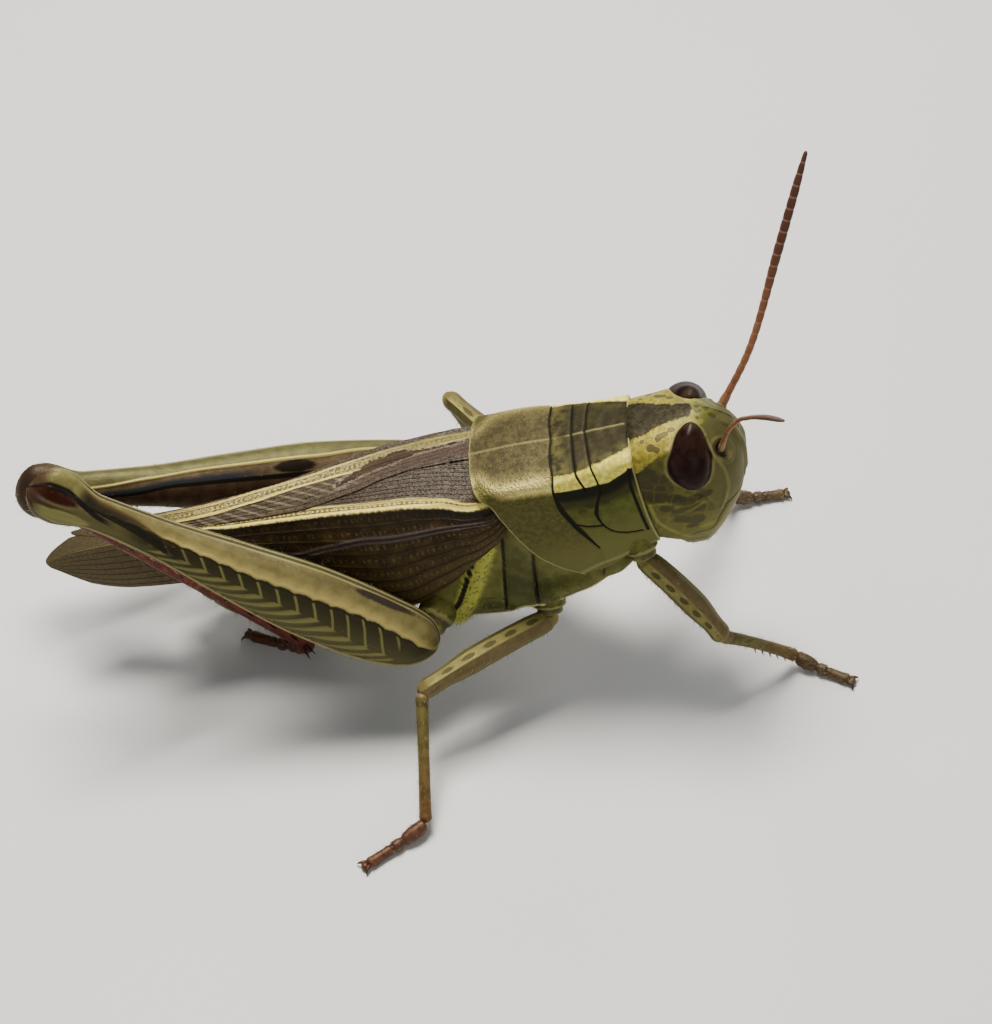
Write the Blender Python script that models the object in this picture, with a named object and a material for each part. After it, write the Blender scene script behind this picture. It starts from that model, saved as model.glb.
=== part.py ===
"""Two-striped grasshopper, adult female, as a still life-size model standing on its six feet.

Sizes are in millimetres and become metres where a mesh is made. Two sets of axes are used:
"stand" is x forwards, y to the animal's left, z up from the floor, and "trunk" is the same
axes tipped head-up with the body, measured from the rear tip of the pronotum as
(along towards the head, side towards the left, rise above the line of the back).
"""

import bmesh
import bpy
import numpy as np
from mathutils import Matrix, Vector

MM = 0.001
GAP = 0.07  # clear space left between neighbouring pieces
LEAST_CAP = 0.2  # part of the full girth at which a rounded end is closed with a small flat

# Stance of the trunk
PITCH = np.radians(17.0)
PRONOTUM_TIP = np.array((-1.3, 0.0, 13.6))

# Pronotum, the saddle behind the head
PRONOTUM_LENGTH = 7.9
LOBE_DEPTH = 6.45
LOBE_FRONT_DEPTH = 5.65

# Tegmina, the folded fore wings
TEGMEN_THICKNESS = 0.5
TEGMEN_END = -22.1
WING_PARTING = 0.05

# Legs
SOLE_RISE = 0.22  # height of the foot's axis above the floor at the claw pad
SPINE_LENGTH = 0.75
SPUR_LENGTH = 1.0
SPINE_RADIUS = 0.13
SPINES_IN_ROW = 8

FINISHES = {
    "pronotum_bronze": ((0.20, 0.18, 0.06), 0.38, 0.0),
    "head_green": ((0.26, 0.29, 0.06), 0.40, 0.0),
    "eye_maroon": ((0.022, 0.010, 0.010), 0.18, 0.0),
    "antenna_rust": ((0.24, 0.07, 0.03), 0.45, 0.0),
    "thorax_green": ((0.24, 0.30, 0.06), 0.45, 0.0),
    "abdomen_olive": ((0.07, 0.08, 0.02), 0.42, 0.0),
    "tegmen_brown": ((0.09, 0.06, 0.035), 0.50, 0.0),
    "leg_olive": ((0.17, 0.15, 0.04), 0.40, 0.0),
    "femur_olive": ((0.18, 0.19, 0.05), 0.38, 0.0),
    "tibia_crimson": ((0.22, 0.02, 0.015), 0.35, 0.0),
    "tarsus_rust": ((0.17, 0.05, 0.025), 0.42, 0.0),
}


def clear_scene():
    for leftover in list(bpy.data.objects):
        bpy.data.objects.remove(leftover)


def make_finish(name):
    colour, roughness, metallic = FINISHES[name]
    finish = bpy.data.materials.new(name)
    finish.use_nodes = True
    shader = finish.node_tree.nodes["Principled BSDF"]
    shader.inputs["Base Color"].default_value = (*colour, 1.0)
    shader.inputs["Roughness"].default_value = roughness
    shader.inputs["Metallic"].default_value = metallic
    return finish


def smooth(place, stops):
    """Value at each place of a soft curve through (place, value) stops, by cubic Hermite steps.
    Its slope at a stop is the harmonic mean of those beside it, or level at a peak, so the
    curve never runs past its stops."""
    at, value = np.array(sorted(stops), dtype=float).T
    grade = np.diff(value) / np.diff(at)
    before, after = np.append(grade[:1], grade), np.append(grade, grade[-1:])
    same_way = before * after > 0
    slope = np.where(same_way, 2 * before * after / np.where(same_way, before + after, 1), 0)
    place = np.clip(place, at[0], at[-1])
    left = np.clip(np.searchsorted(at, place, side="right") - 1, 0, len(at) - 2)
    span = at[left + 1] - at[left]
    step = (place - at[left]) / span
    rise = value[left + 1] - value[left]
    return (
        value[left]
        + rise * step**2 * (3 - 2 * step)
        + span * slope[left] * step * (1 - step) ** 2
        - span * slope[left + 1] * step**2 * (1 - step)
    )


def stand_from_trunk(along, side, rise):
    """Stand coordinates of points given in the trunk's own axes."""
    along, side, rise = np.broadcast_arrays(along, side, rise)
    x = along * np.cos(PITCH) - rise * np.sin(PITCH)
    z = along * np.sin(PITCH) + rise * np.cos(PITCH)
    return PRONOTUM_TIP + np.stack((x, side, z), axis=-1)


def unit(vector):
    vector = np.asarray(vector, dtype=float)
    return vector / np.linalg.norm(vector)


def make_solid(name, rings, finish):
    """One closed piece through rings of points. Each ring starts at its top and runs round to it,
    so an end is closed by strips across from one side of the ring to the other."""
    bm = bmesh.new()
    loops = [[bm.verts.new(point * MM) for point in ring] for ring in rings]
    count = len(loops[0])
    for near, far in zip(loops, loops[1:]):
        for k in range(count):
            bm.faces.new((near[k - 1], near[k], far[k], far[k - 1]))
    for end in (loops[0], loops[-1]):
        for k in range(count // 2):
            corners = (end[k], end[k + 1], end[-k - 1], end[-k])
            bm.faces.new(list(dict.fromkeys(corners)))
    bmesh.ops.recalc_face_normals(bm, faces=bm.faces)
    mesh = bpy.data.meshes.new(name)
    bm.to_mesh(mesh)
    bm.free()
    mesh.shade_smooth()
    return place_piece(name, mesh, finish)


def place_piece(name, data, finish):
    piece = bpy.data.objects.new(name, data)
    bpy.context.collection.objects.link(piece)
    piece.data.materials.append(finish)
    return piece


def hidden_helper(name, mesh):
    helper = bpy.data.objects.new(name, mesh)
    bpy.context.collection.objects.link(helper)
    helper.hide_render = True
    helper.display_type = "WIRE"
    return helper


def swollen_copy(piece, gap):
    """A hidden copy of a piece, grown by the gap along its own normals, to carve a neighbour."""
    bm = bmesh.new()
    bm.from_mesh(piece.data)
    moves = [v.normal * min(v.calc_shell_factor(), 2.0) * gap * MM for v in bm.verts]
    for vert, move in zip(bm.verts, moves):
        vert.co += move
    mesh = bpy.data.meshes.new(piece.name + "_room")
    bm.to_mesh(mesh)
    bm.free()
    return hidden_helper(piece.name + "_room", mesh)


def carve(piece, *neighbours):
    """Takes from a piece the room of its neighbours and the gap around them."""
    for neighbour in neighbours:
        cut = piece.modifiers.new("room_for_" + neighbour.name, "BOOLEAN")
        cut.operation = "DIFFERENCE"
        cut.object = swollen_copy(neighbour, GAP)


def round_ends(t, first, last):
    """Shrinks a limb's girth to a rounded end over the first and last part of its length."""
    near = np.clip(t / first, 0, 1) if first else np.ones_like(t)
    far = np.clip((1 - t) / last, 0, 1) if last else np.ones_like(t)
    girth = np.sqrt(1 - (1 - near) ** 2) * np.sqrt(1 - (1 - far) ** 2)
    return np.maximum(girth, LEAST_CAP)


def limb_rings(start, end, depth, width, up=(0, 0, 1), bow=0.0, belly=None, ends=(0.1, 0.1),
               rows=10, sides=10):
    """Rings of an oval limb from start to end. Depth, belly and width are stops of half sizes
    along it: above the axis, below it (as above when not given) and to each side. Bow lifts
    its middle."""
    start, end = np.array(start, dtype=float), np.array(end, dtype=float)
    along = unit(end - start)
    side = unit(np.cross(up, along))
    top = np.cross(along, side)
    t = 0.5 - 0.5 * np.cos(np.pi * np.linspace(0, 1, rows))
    angle = np.linspace(0, 2 * np.pi, sides, endpoint=False)
    girth = round_ends(t, *ends)
    above = smooth(t, depth) * girth
    below = smooth(t, belly or depth) * girth
    beside = smooth(t, width) * girth
    centre = start + t[:, None] * (end - start) + (bow * 4 * t * (1 - t))[:, None] * top
    height = np.where(np.cos(angle) > 0, above[:, None], below[:, None]) * np.cos(angle)
    breadth = beside[:, None] * np.sin(angle)
    return centre[:, None] + height[..., None] * top + breadth[..., None] * side


def soften(x, power):
    """Sine or cosine drawn out towards a square corner, for a superellipse."""
    return np.sign(x) * np.abs(x) ** (2 / power)


# ---- trunk -------------------------------------------------------------------------------

# Rear margin of the pronotum: how far forwards it lies at each depth below the back
REAR_MARGIN = ((0, 0), (0.8, 0.8), (1.7, 1.05), (4.2, 1.95), (5.6, 2.9), (LOBE_DEPTH, 3.9))
# Half width of the disc and of the lobes, depth of the lobes and height of the middle line, from
# the rear margin at 0 to the front margin at 1
DISC_HALF = ((0, 2.75), (0.35, 2.6), (0.7, 2.25), (1, 2.05))
LOBE_HALF = ((0, 3.3), (0.5, 3.15), (1, 2.75))
LOBE_REACH = ((0, LOBE_DEPTH), (0.25, LOBE_DEPTH), (0.75, 5.75), (1, LOBE_FRONT_DEPTH))
CREST = ((0, 0), (0.3, 0.06), (0.55, -0.05), (1, 0.0))
FRONT_HOLLOW = 0.12  # how far the front margin curves back between its upper and lower ends
# Half section of the saddle, as (share of the disc or lobe width, share of the lobe depth)
DISC_SECTION = ((0.0, 0.0), (0.5, 0.008), (0.88, 0.035), (1.0, 0.085))
LOBE_SECTION = ((0.45, 0.30), (0.85, 0.55), (1.0, 0.75), (0.97, 0.9), (0.9, 1.0))


def pronotum_rings(rows=12):
    """Rings from the rear margin to the front one. Each is the arch of disc and side lobes,
    closed below from lobe to lobe."""
    s = np.linspace(0, 1, rows)
    disc, lobe = smooth(s, DISC_HALF), smooth(s, LOBE_HALF)
    depth, crest = smooth(s, LOBE_REACH), smooth(s, CREST)
    side = [share * disc for share, _ in DISC_SECTION]
    side += [disc + share * (lobe - disc) for share, _ in LOBE_SECTION]
    drop = [share * depth for _, share in DISC_SECTION + LOBE_SECTION]
    side, drop = np.array(side), np.array(drop)
    rear = smooth(drop, REAR_MARGIN)
    front = PRONOTUM_LENGTH - FRONT_HOLLOW * np.sin(np.pi * drop / LOBE_DEPTH)
    along = rear + s * (front - rear)
    half = stand_from_trunk(along, -side, crest - drop)
    other = stand_from_trunk(along, side, crest - drop)
    return np.concatenate((half, other[:0:-1])).transpose(1, 0, 2)


# Top, bottom and half width of the thorax along the trunk
THORAX_TOP = ((-5, -1.5), (-2, -1.1), (3, -1.0), (7.2, -3.4))
THORAX_BOTTOM = ((-5, -7.5), (-3, -8.2), (0, -8.4), (3.5, -8.1), (6, -7.3), (7.2, -6.7))
THORAX_HALF = ((-5, 2.55), (-2, 2.75), (1, 3.0), (4, 3.0), (6, 2.45), (7.2, 1.9))
THORAX_ENDS = (7.2, -5.0)
THORAX_POWER = 2.9


def thorax_rings(rows=10, sides=16):
    """Rings of the thorax from its front end, between the fore legs, to its rear end."""
    along = np.linspace(*THORAX_ENDS, rows)
    top, bottom = smooth(along, THORAX_TOP), smooth(along, THORAX_BOTTOM)
    half = smooth(along, THORAX_HALF)
    angle = np.linspace(0, 2 * np.pi, sides, endpoint=False)
    middle, reach = (top + bottom) / 2, (top - bottom) / 2
    rise = middle[:, None] + reach[:, None] * soften(np.cos(angle), THORAX_POWER)
    side = half[:, None] * soften(np.sin(angle), THORAX_POWER)
    return stand_from_trunk(along[:, None], side, rise)


# Axis of the drooping abdomen in stand axes, and its half sizes, all by share of its length
ABDOMEN_X = ((0, -4.0), (0.25, -6.6), (0.5, -9.4), (0.75, -12.2), (1, -15.0))
ABDOMEN_Y = ((0, 0.0), (0.25, 0.1), (0.5, 0.35), (1, 0.6))
ABDOMEN_Z = ((0, 7.9), (0.25, 5.2), (0.5, 3.1), (0.75, 3.1), (1, 4.1))
ABDOMEN_HALF = ((0, 2.5), (0.25, 2.65), (0.5, 2.15), (0.75, 1.65), (1, 0.9))
ABDOMEN_DEEPER = 1.08  # depth of the abdomen as a part of its width
ABDOMEN_LENGTH = 13.0  # length of the axis, nearly enough to set the gaps between its pieces
ABDOMEN_LENGTHS = (
    ("abdomen_front", 0.0, 0.28),
    ("abdomen_middle", 0.28, 0.55),
    ("abdomen_rear", 0.55, 0.8),
    ("abdomen_tip", 0.8, 1.0),
)


def abdomen_axis(t):
    return np.stack((smooth(t, ABDOMEN_X), smooth(t, ABDOMEN_Y), smooth(t, ABDOMEN_Z)), axis=-1)


def abdomen_rings(first, last, rows=6, sides=18):
    """Rings of one length of the abdomen, square to its axis, a little deeper than wide."""
    half_gap = GAP / 2 / ABDOMEN_LENGTH
    t = np.linspace(first + half_gap, last - half_gap, rows)
    angle = np.linspace(0, 2 * np.pi, sides, endpoint=False)
    centre = abdomen_axis(t)
    step = 0.01
    along = abdomen_axis(t + step) - abdomen_axis(t - step)
    along /= np.linalg.norm(along, axis=1)[:, None]
    side = np.cross((0, 0, 1), along)
    side /= np.linalg.norm(side, axis=1)[:, None]
    top = np.cross(along, side)
    half = smooth(t, ABDOMEN_HALF)[:, None, None]
    ring = ABDOMEN_DEEPER * np.cos(angle)[None, :, None] * top[:, None]
    ring = ring + np.sin(angle)[None, :, None] * side[:, None]
    return centre[:, None] + half * ring


# The egg-laying valves: distance of a pair from the axis, way to its tip and its half sizes
VALVE_OFFSET = 0.3
VALVE_REACH = (-1.3, 0.05, 0.2)
VALVE_FLARE = 0.28
VALVE_DEPTH = ((0, 0.34), (0.7, 0.26), (1, 0.16))
VALVE_WIDTH = ((0, 0.5), (0.7, 0.4), (1, 0.25))


def ovipositor_rings(lift):
    """One pair of egg-laying valves, a short blunt wedge that turns up or down at its end."""
    start = abdomen_axis(np.array(0.97)) + (0, 0, VALVE_OFFSET * lift)
    end = start + VALVE_REACH + (0, 0, VALVE_FLARE * lift)
    return limb_rings(start, end, VALVE_DEPTH, VALVE_WIDTH, ends=(0, 0.2), rows=5, sides=8)


# Ends and half sizes of the short neck under the front of the pronotum
NECK_ENDS = ((7.0, 0, -6.1), (9.3, 0, -6.2))
NECK_DEPTH = ((0, 1.0), (1, 0.95))
NECK_WIDTH = ((0, 1.4), (1, 1.3))


def neck_rings():
    start, end = (stand_from_trunk(*place) for place in NECK_ENDS)
    return limb_rings(start, end, NECK_DEPTH, NECK_WIDTH, ends=(0, 0), rows=4)


# ---- head --------------------------------------------------------------------------------

# The head's front, back and half width at each level of the trunk's axes
HEAD_FRONT = ((0.1, 11.3), (-0.3, 12.1), (-1.2, 12.7), (-2.4, 12.85), (-3.9, 12.65), (-5.0, 12.3),
              (-6.6, 11.35), (-8.4, 10.0))
HEAD_BACK = ((0.1, 8.4), (-0.3, 8.05), (-4.8, 8.05), (-5.8, 8.3), (-6.6, 8.7), (-8.4, 9.0))
HEAD_HALF = ((0.1, 0.9), (-0.15, 1.6), (-0.6, 2.1), (-1.2, 2.3), (-2.5, 2.5), (-4.0, 2.75),
             (-5.4, 2.7), (-6.6, 2.25), (-7.6, 1.65), (-8.4, 0.85))
CROWN = 0.1
MOUTH_LINE = -6.6
MOUTH_END = -8.4
# Where the head's rings lie from the crown down to the mouth line, closer over the crown
HEAD_LEVELS = (0, 0.015, 0.05, 0.11, 0.2, 0.32, 0.46, 0.62, 0.8, 1.0)
# How square a level section is, where 2 is an ellipse: at the face by level, and at the back
FACE_POWERS = ((0.1, 1.1), (-0.3, 1.15), (-1.5, 1.5), (-3.0, 2.1), (-5.0, 2.3))
NAPE_POWER = 5.0


def head_rings(levels, sides=20):
    """Level rings of the head, square at the back and narrower at the face, most of all above."""
    angle = np.linspace(0, 2 * np.pi, sides, endpoint=False)
    front = smooth(levels, HEAD_FRONT)[:, None]
    back = smooth(levels, HEAD_BACK)[:, None]
    half = smooth(levels, HEAD_HALF)[:, None]
    middle, reach = (front + back) / 2, (front - back) / 2
    blunt = np.where(np.cos(angle) > 0, smooth(levels, FACE_POWERS)[:, None], NAPE_POWER)
    along = middle + reach * soften(np.cos(angle), blunt)
    side = half * soften(np.sin(angle), blunt)
    return stand_from_trunk(along, side, levels[:, None])


# Upper and lower ends of an eye and the way that it looks, in trunk axes, and its half sizes
EYE_TOP = (10.7, 0.85, 0.15)
EYE_BOTTOM = (10.15, 2.65, -2.62)
EYE_OUTWARD = (0.0, 0.8, 0.6)
EYE_BULGE = ((0, 0.4), (0.25, 0.75), (0.5, 1.0), (1, 1.0))
EYE_BREADTH = ((0, 0.35), (0.25, 0.78), (0.55, 1.15), (1, 1.2))


def eye_rings(hand):
    """An eye, drawn out to a point above and bluntly round below."""
    mirror = np.array((1, hand, 1))
    top = stand_from_trunk(*(EYE_TOP * mirror))
    bottom = stand_from_trunk(*(EYE_BOTTOM * mirror))
    outward = stand_from_trunk(*(EYE_OUTWARD * mirror)) - PRONOTUM_TIP
    return limb_rings(top, bottom, EYE_BULGE, EYE_BREADTH, up=outward, ends=(0.2, 0.5), rows=9,
                      sides=12)


# Root of a feeler in trunk axes, and the further points that each passes in stand axes
ANTENNA_BASE = (12.15, 1.3, -1.5)
ANTENNA_RADIUS = 0.27
ANTENNA_STEPS = 12
ANTENNA_TAPER = ((0, 1.25), (0.08, 1.0), (0.7, 1.0), (1, 0.85))
SOCKET_RADIUS = 0.62
ANTENNA_POINTS = {
    "antenna_right": ((11.3, -1.75, 17.6), (11.8, -4.2, 21.0), (12.5, -8.4, 25.2)),
    "antenna_left": ((11.75, 2.4, 18.6), (12.9, 4.6, 22.6), (14.3, 7.1, 26.8)),
}


def socket_ball(name, base):
    """A hidden ball that hollows the face round the root of a feeler."""
    bm = bmesh.new()
    bmesh.ops.create_icosphere(bm, subdivisions=1, radius=SOCKET_RADIUS * MM,
                               matrix=Matrix.Translation(base * MM))
    mesh = bpy.data.meshes.new(name)
    bm.to_mesh(mesh)
    bm.free()
    return hidden_helper(name, mesh)


def antenna(name, base, points, finish):
    """A feeler: a bevelled curve that thins a little towards its tip."""
    curve = bpy.data.curves.new(name, "CURVE")
    curve.dimensions = "3D"
    curve.bevel_depth = ANTENNA_RADIUS * MM
    curve.bevel_resolution = 1
    curve.use_fill_caps = True
    share = np.linspace(0, 1, ANTENNA_STEPS)
    stops = np.array((base, *points))
    at = np.linspace(0, 1, len(stops))
    path = np.stack([smooth(share, list(zip(at, stops[:, axis]))) for axis in range(3)], axis=-1)
    spline = curve.splines.new("POLY")
    spline.points.add(len(path) - 1)
    spline.points.foreach_set("co", np.column_stack((path * MM, np.ones(len(path)))).ravel())
    spline.points.foreach_set("radius", smooth(share, ANTENNA_TAPER))
    return place_piece(name, curve, finish)


# ---- wings -------------------------------------------------------------------------------

# Height of the wings' middle line, half widths at the shoulder and at the side, and height of the
# lower edge, along the trunk
WING_TOP = ((1.2, -0.42), (-1, -0.3), (-8.6, 0.0), (-13.7, 0.1), (-18, 0.1), (-20.4, -0.1),
            (TEGMEN_END, -0.6))
WING_SHOULDER = ((1.2, 2.35), (-1, 2.3), (-8.6, 1.65), (-13.7, 1.35), (-19, 1.1),
                 (TEGMEN_END, 0.8))
WING_SIDE = ((1.2, 3.2), (-1, 3.45), (-4.5, 3.5), (-9, 2.75), (-15, 1.95), (-19, 1.65),
             (TEGMEN_END, 1.1))
WING_EDGE = ((1.5, -2.4), (-1, -4.0), (-2.7, -5.2), (-4.6, -6.0), (-7, -5.6), (-11, -4.2),
             (-15, -3.1), (-18.2, -2.8), (-20.4, -2.1), (TEGMEN_END, -1.1))
WING_FOLD = 0.42  # part of the way across a wing at which it turns down at the shoulder
SHOULDER_DROP = 0.22
SIDE_CURL = 1.75  # how far round the side field curves, in radians


def tegmen_rings(hand, rows=13, across=8):
    """A folded fore wing: a flat field on the back, turned down at the shoulder into a side
    field whose lower edge is rounded. Rings run from the rear margin of the pronotum back."""
    s = np.linspace(0, 1, rows) ** 0.9
    q = np.linspace(0, 1, across)
    flat = np.clip(q / WING_FOLD, 0, 1)
    hang = np.clip((q - WING_FOLD) / (1 - WING_FOLD), 0, 1)

    def section(along):
        shoulder, flank = smooth(along, WING_SHOULDER), smooth(along, WING_SIDE)
        crown, edge = smooth(along, WING_TOP), smooth(along, WING_EDGE)
        side = WING_PARTING + (shoulder - WING_PARTING) * flat
        side = side + (flank - shoulder) * np.sin(hang * SIDE_CURL)
        rise = crown - SHOULDER_DROP * flat**2 + (edge - crown + SHOULDER_DROP) * hang**1.1
        return side, rise

    root = np.zeros(across)
    for _ in range(4):
        side, rise = section(root)
        root = smooth(-rise, REAR_MARGIN) - GAP
    along = root + s[:, None] * (TEGMEN_END - root)
    side, rise = section(along)
    turn_side, turn_rise = np.gradient(side, axis=1), np.gradient(rise, axis=1)
    span = np.hypot(turn_side, turn_rise)
    inner_side = np.maximum(side + TEGMEN_THICKNESS * turn_rise / span, WING_PARTING)
    inner_rise = rise - TEGMEN_THICKNESS * turn_side / span
    outer = stand_from_trunk(along, hand * side, rise)
    inner = stand_from_trunk(along, hand * inner_side, inner_rise)
    return np.concatenate((outer, inner[:, ::-1]), axis=1)


# ---- legs --------------------------------------------------------------------------------

# Joints of each leg in stand axes: coxa root, hip, knee, ankle, toe
LEGS = {
    "fore_right": ((6.6, -1.9, 10.3), (7.3, -2.85, 8.9), (11.1, -4.0, 4.6), (15.1, -2.2, 0.7),
                   (17.8, -3.4, SOLE_RISE)),
    "fore_left": ((6.6, 1.9, 10.3), (7.3, 2.85, 8.9), (10.2, 6.9, 6.4), (12.4, 8.3, 0.7),
                  (15.2, 8.9, SOLE_RISE)),
    "mid_right": ((2.5, -2.4, 6.4), (2.7, -3.4, 5.3), (-3.6, -7.2, 4.35), (-3.4, -12.4, 0.7),
                  (-6.2, -14.5, SOLE_RISE)),
    "mid_left": ((2.5, 2.4, 6.6), (2.8, 3.9, 5.9), (-2.5, 9.3, 7.4), (-0.2, 10.0, 0.7),
                 (2.5, 11.0, SOLE_RISE)),
    "hind_right": ((-2.4, -2.3, 5.9), (-2.6, -4.0, 4.9), (-21.6, -2.75, 14.15), (-9.2, -1.95, 1.15),
                   (-12.5, -0.5, SOLE_RISE)),
    "hind_left": ((-2.4, 2.3, 6.1), (-2.6, 4.85, 6.2), (-23.3, 2.3, 7.9), (-8.0, 8.0, 1.05),
                  (-10.8, 9.4, SOLE_RISE)),
}
# Half sizes along each length of a leg, with how far a walking leg's femur and tibia bow upwards
COXA_HALF = ((0, 1.45), (0.55, 1.2), (1, 0.8))
COXA_SIZE = 0.75
HIND_COXA_SIZE = 0.9
WALKING_FEMUR_DEPTH = ((0, 0.5), (0.2, 0.62), (0.6, 0.66), (0.86, 0.5), (1, 0.52))
WALKING_FEMUR_WIDTH = ((0, 0.45), (0.2, 0.58), (0.6, 0.6), (0.86, 0.46), (1, 0.46))
WALKING_FEMUR_BOW = 0.25
WALKING_TIBIA_DEPTH = ((0, 0.4), (0.1, 0.34), (0.5, 0.3), (0.9, 0.32), (1, 0.36))
WALKING_TIBIA_WIDTH = ((0, 0.36), (0.1, 0.31), (0.5, 0.28), (0.9, 0.3), (1, 0.34))
WALKING_TIBIA_BOW = 0.12
KNEE_OVERLAP = 0.2  # how far a walking femur runs on past the middle of its knee
TARSUS_HALF = ((0, 0.3), (0.2, 0.36), (0.42, 0.28), (0.55, 0.3), (0.68, 0.26), (0.85, 0.28),
               (1, 0.34))
# The hind femur: half depths above and below its axis, half width, how far its root is set
# along and out from the hip, how far it runs past the knee, and how far each one leans out
HIND_FEMUR_ABOVE = ((0, 1.0), (0.1, 1.5), (0.3, 1.7), (0.5, 1.4), (0.7, 1.05), (0.84, 1.0),
                    (0.93, 1.6), (1, 1.4))
HIND_FEMUR_BELOW = ((0, 1.2), (0.08, 1.9), (0.2, 2.2), (0.32, 2.1), (0.5, 1.6), (0.7, 1.05),
                    (0.84, 0.85), (0.93, 1.3), (1, 1.1))
HIND_FEMUR_WIDTH = ((0, 0.75), (0.15, 1.1), (0.3, 1.2), (0.55, 1.05), (0.8, 0.7), (0.93, 0.85),
                    (1, 0.7))
HIND_FEMUR_ROOT = (0.3, 0.9)
HIND_KNEE_REACH = 0.5
HIND_LEAN = {"hind_right": -0.35, "hind_left": 0.5}
HIND_TIBIA_DEPTH = ((0, 0.45), (0.06, 0.42), (0.5, 0.36), (0.92, 0.4), (1, 0.46))
HIND_TIBIA_WIDTH = ((0, 0.42), (0.06, 0.38), (0.5, 0.33), (0.92, 0.38), (1, 0.44))
HIND_TIBIA_DROP = 0.25  # how far the tibia's root lies below the femur's axis
# Where the spines stand along a tibia, how far they spread to the sides and lean to the foot
SPINE_SHARES = (0.3, 0.9)
SPUR_SHARE = 0.96
SPUR_SPREADS = (1.3, 4.0)
SPINE_SPREAD = 0.75
SPINE_LEAN = 0.75
SPINE_ROOT = 0.2
SPINE_TIP = 0.25  # radius of a spine's tip as a part of that of its root


def coxa_piece(name, root, hip, size, finish):
    """A stout cone out of the thorax, with the round trochanter at its end."""
    half = [(share, size * part) for share, part in COXA_HALF]
    rings = limb_rings(root, hip, half, half, up=(1, 0, 0.2), ends=(0, 0.35), rows=6, sides=10)
    return make_solid(name, rings, finish)


def walking_leg(leg, finishes):
    """Fore or middle leg: coxa, femur, tibia and tarsus, each in a piece of its own."""
    root, hip, knee, ankle, toe = np.array(LEGS[leg], dtype=float)
    coxa = coxa_piece(f"coxa_{leg}", root, hip, COXA_SIZE, finishes["thorax_green"])
    end = knee + KNEE_OVERLAP * unit(knee - hip)
    femur_rings = limb_rings(hip, end, WALKING_FEMUR_DEPTH, WALKING_FEMUR_WIDTH,
                             bow=WALKING_FEMUR_BOW, ends=(0.1, 0.1), rows=11, sides=10)
    femur = make_solid(f"femur_{leg}", femur_rings, finishes["leg_olive"])
    tibia_rings = limb_rings(knee, ankle, WALKING_TIBIA_DEPTH, WALKING_TIBIA_WIDTH,
                             bow=WALKING_TIBIA_BOW, ends=(0.06, 0.05), rows=9, sides=8)
    tibia = make_solid(f"tibia_{leg}", tibia_rings, finishes["leg_olive"])
    tarsus = tarsus_piece(f"tarsus_{leg}", ankle, toe, finishes)
    carve(femur, coxa)
    carve(tibia, femur)
    carve(tarsus, tibia)
    return coxa


def tarsus_piece(name, ankle, toe, finishes):
    """The foot: a padded first joint, a slim middle and the claw pad, with a flat sole."""
    level_out = -(ankle[2] - toe[2]) / 4
    rings = limb_rings(ankle, toe, TARSUS_HALF, TARSUS_HALF, bow=level_out, ends=(0.05, 0.12),
                       rows=8, sides=10)
    rings[..., 2] = np.maximum(rings[..., 2], 0.0)
    return make_solid(name, rings, finishes["tarsus_rust"])


def spine_mesh(name, start, end, out, side):
    """Two rows of cones along the back of a tibia, and two pairs of spurs at its ankle."""
    along = unit(end - start)
    bm = bmesh.new()
    shares = np.linspace(*SPINE_SHARES, SPINES_IN_ROW)
    rooted = [(share, hand, SPINE_LENGTH) for share in shares for hand in (-1, 1)]
    rooted += [(SPUR_SHARE, hand * far, SPUR_LENGTH) for hand in (-1, 1) for far in SPUR_SPREADS]
    for share, hand, length in rooted:
        splay = unit(out + SPINE_SPREAD * hand * side)
        lean = unit(splay + SPINE_LEAN * along)
        middle = start + share * (end - start) + SPINE_ROOT * splay + length / 2 * lean
        turn = Vector((0, 0, 1)).rotation_difference(Vector(lean)).to_matrix().to_4x4()
        place = Matrix.Translation(middle * MM) @ turn
        bmesh.ops.create_cone(bm, cap_ends=True, segments=4, radius1=SPINE_RADIUS * MM,
                              radius2=SPINE_TIP * SPINE_RADIUS * MM, depth=length * MM,
                              matrix=place)
    mesh = bpy.data.meshes.new(name)
    bm.to_mesh(mesh)
    bm.free()
    return mesh


def join_spines(tibia, mesh):
    """Unites a tibia with its spines."""
    union = tibia.modifiers.new("spines", "BOOLEAN")
    union.operation = "UNION"
    union.use_self = True
    union.object = hidden_helper(mesh.name, mesh)


def hind_leg(leg, hand, finishes):
    """Jumping leg: the deep femur with its knee lobes, the spined tibia and the tarsus."""
    root, hip, knee, ankle, toe = np.array(LEGS[leg], dtype=float)
    coxa = coxa_piece(f"coxa_{leg}", root, hip, HIND_COXA_SIZE, finishes["thorax_green"])
    along = unit(knee - hip)
    onward, outward = HIND_FEMUR_ROOT
    start = hip + onward * along + (0, hand * outward, 0)
    end = knee + HIND_KNEE_REACH * along
    upward = np.array((0.0, hand * HIND_LEAN[leg], 1.0))
    femur_rings = limb_rings(start, end, HIND_FEMUR_ABOVE, HIND_FEMUR_WIDTH, up=upward,
                             belly=HIND_FEMUR_BELOW, ends=(0.05, 0.05), rows=16, sides=12)
    femur = make_solid(f"femur_{leg}", femur_rings, finishes["femur_olive"])
    tibia_start = knee - HIND_TIBIA_DROP * unit(np.cross(np.cross(along, upward), along))
    tibia_rings = limb_rings(tibia_start, ankle, HIND_TIBIA_DEPTH, HIND_TIBIA_WIDTH, up=-along,
                             ends=(0.03, 0.03), rows=12, sides=8)
    tibia = make_solid(f"tibia_{leg}", tibia_rings, finishes["tibia_crimson"])
    down_tibia = unit(ankle - tibia_start)
    side = unit(np.cross(-along, down_tibia))
    back = np.cross(side, down_tibia)
    tarsus = tarsus_piece(f"tarsus_{leg}", ankle, toe, finishes)
    join_spines(tibia, spine_mesh(f"spines_{leg}", tibia_start, ankle, back, side))
    carve(femur, coxa)
    carve(tibia, femur)
    carve(tarsus, tibia)
    return coxa


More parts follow.
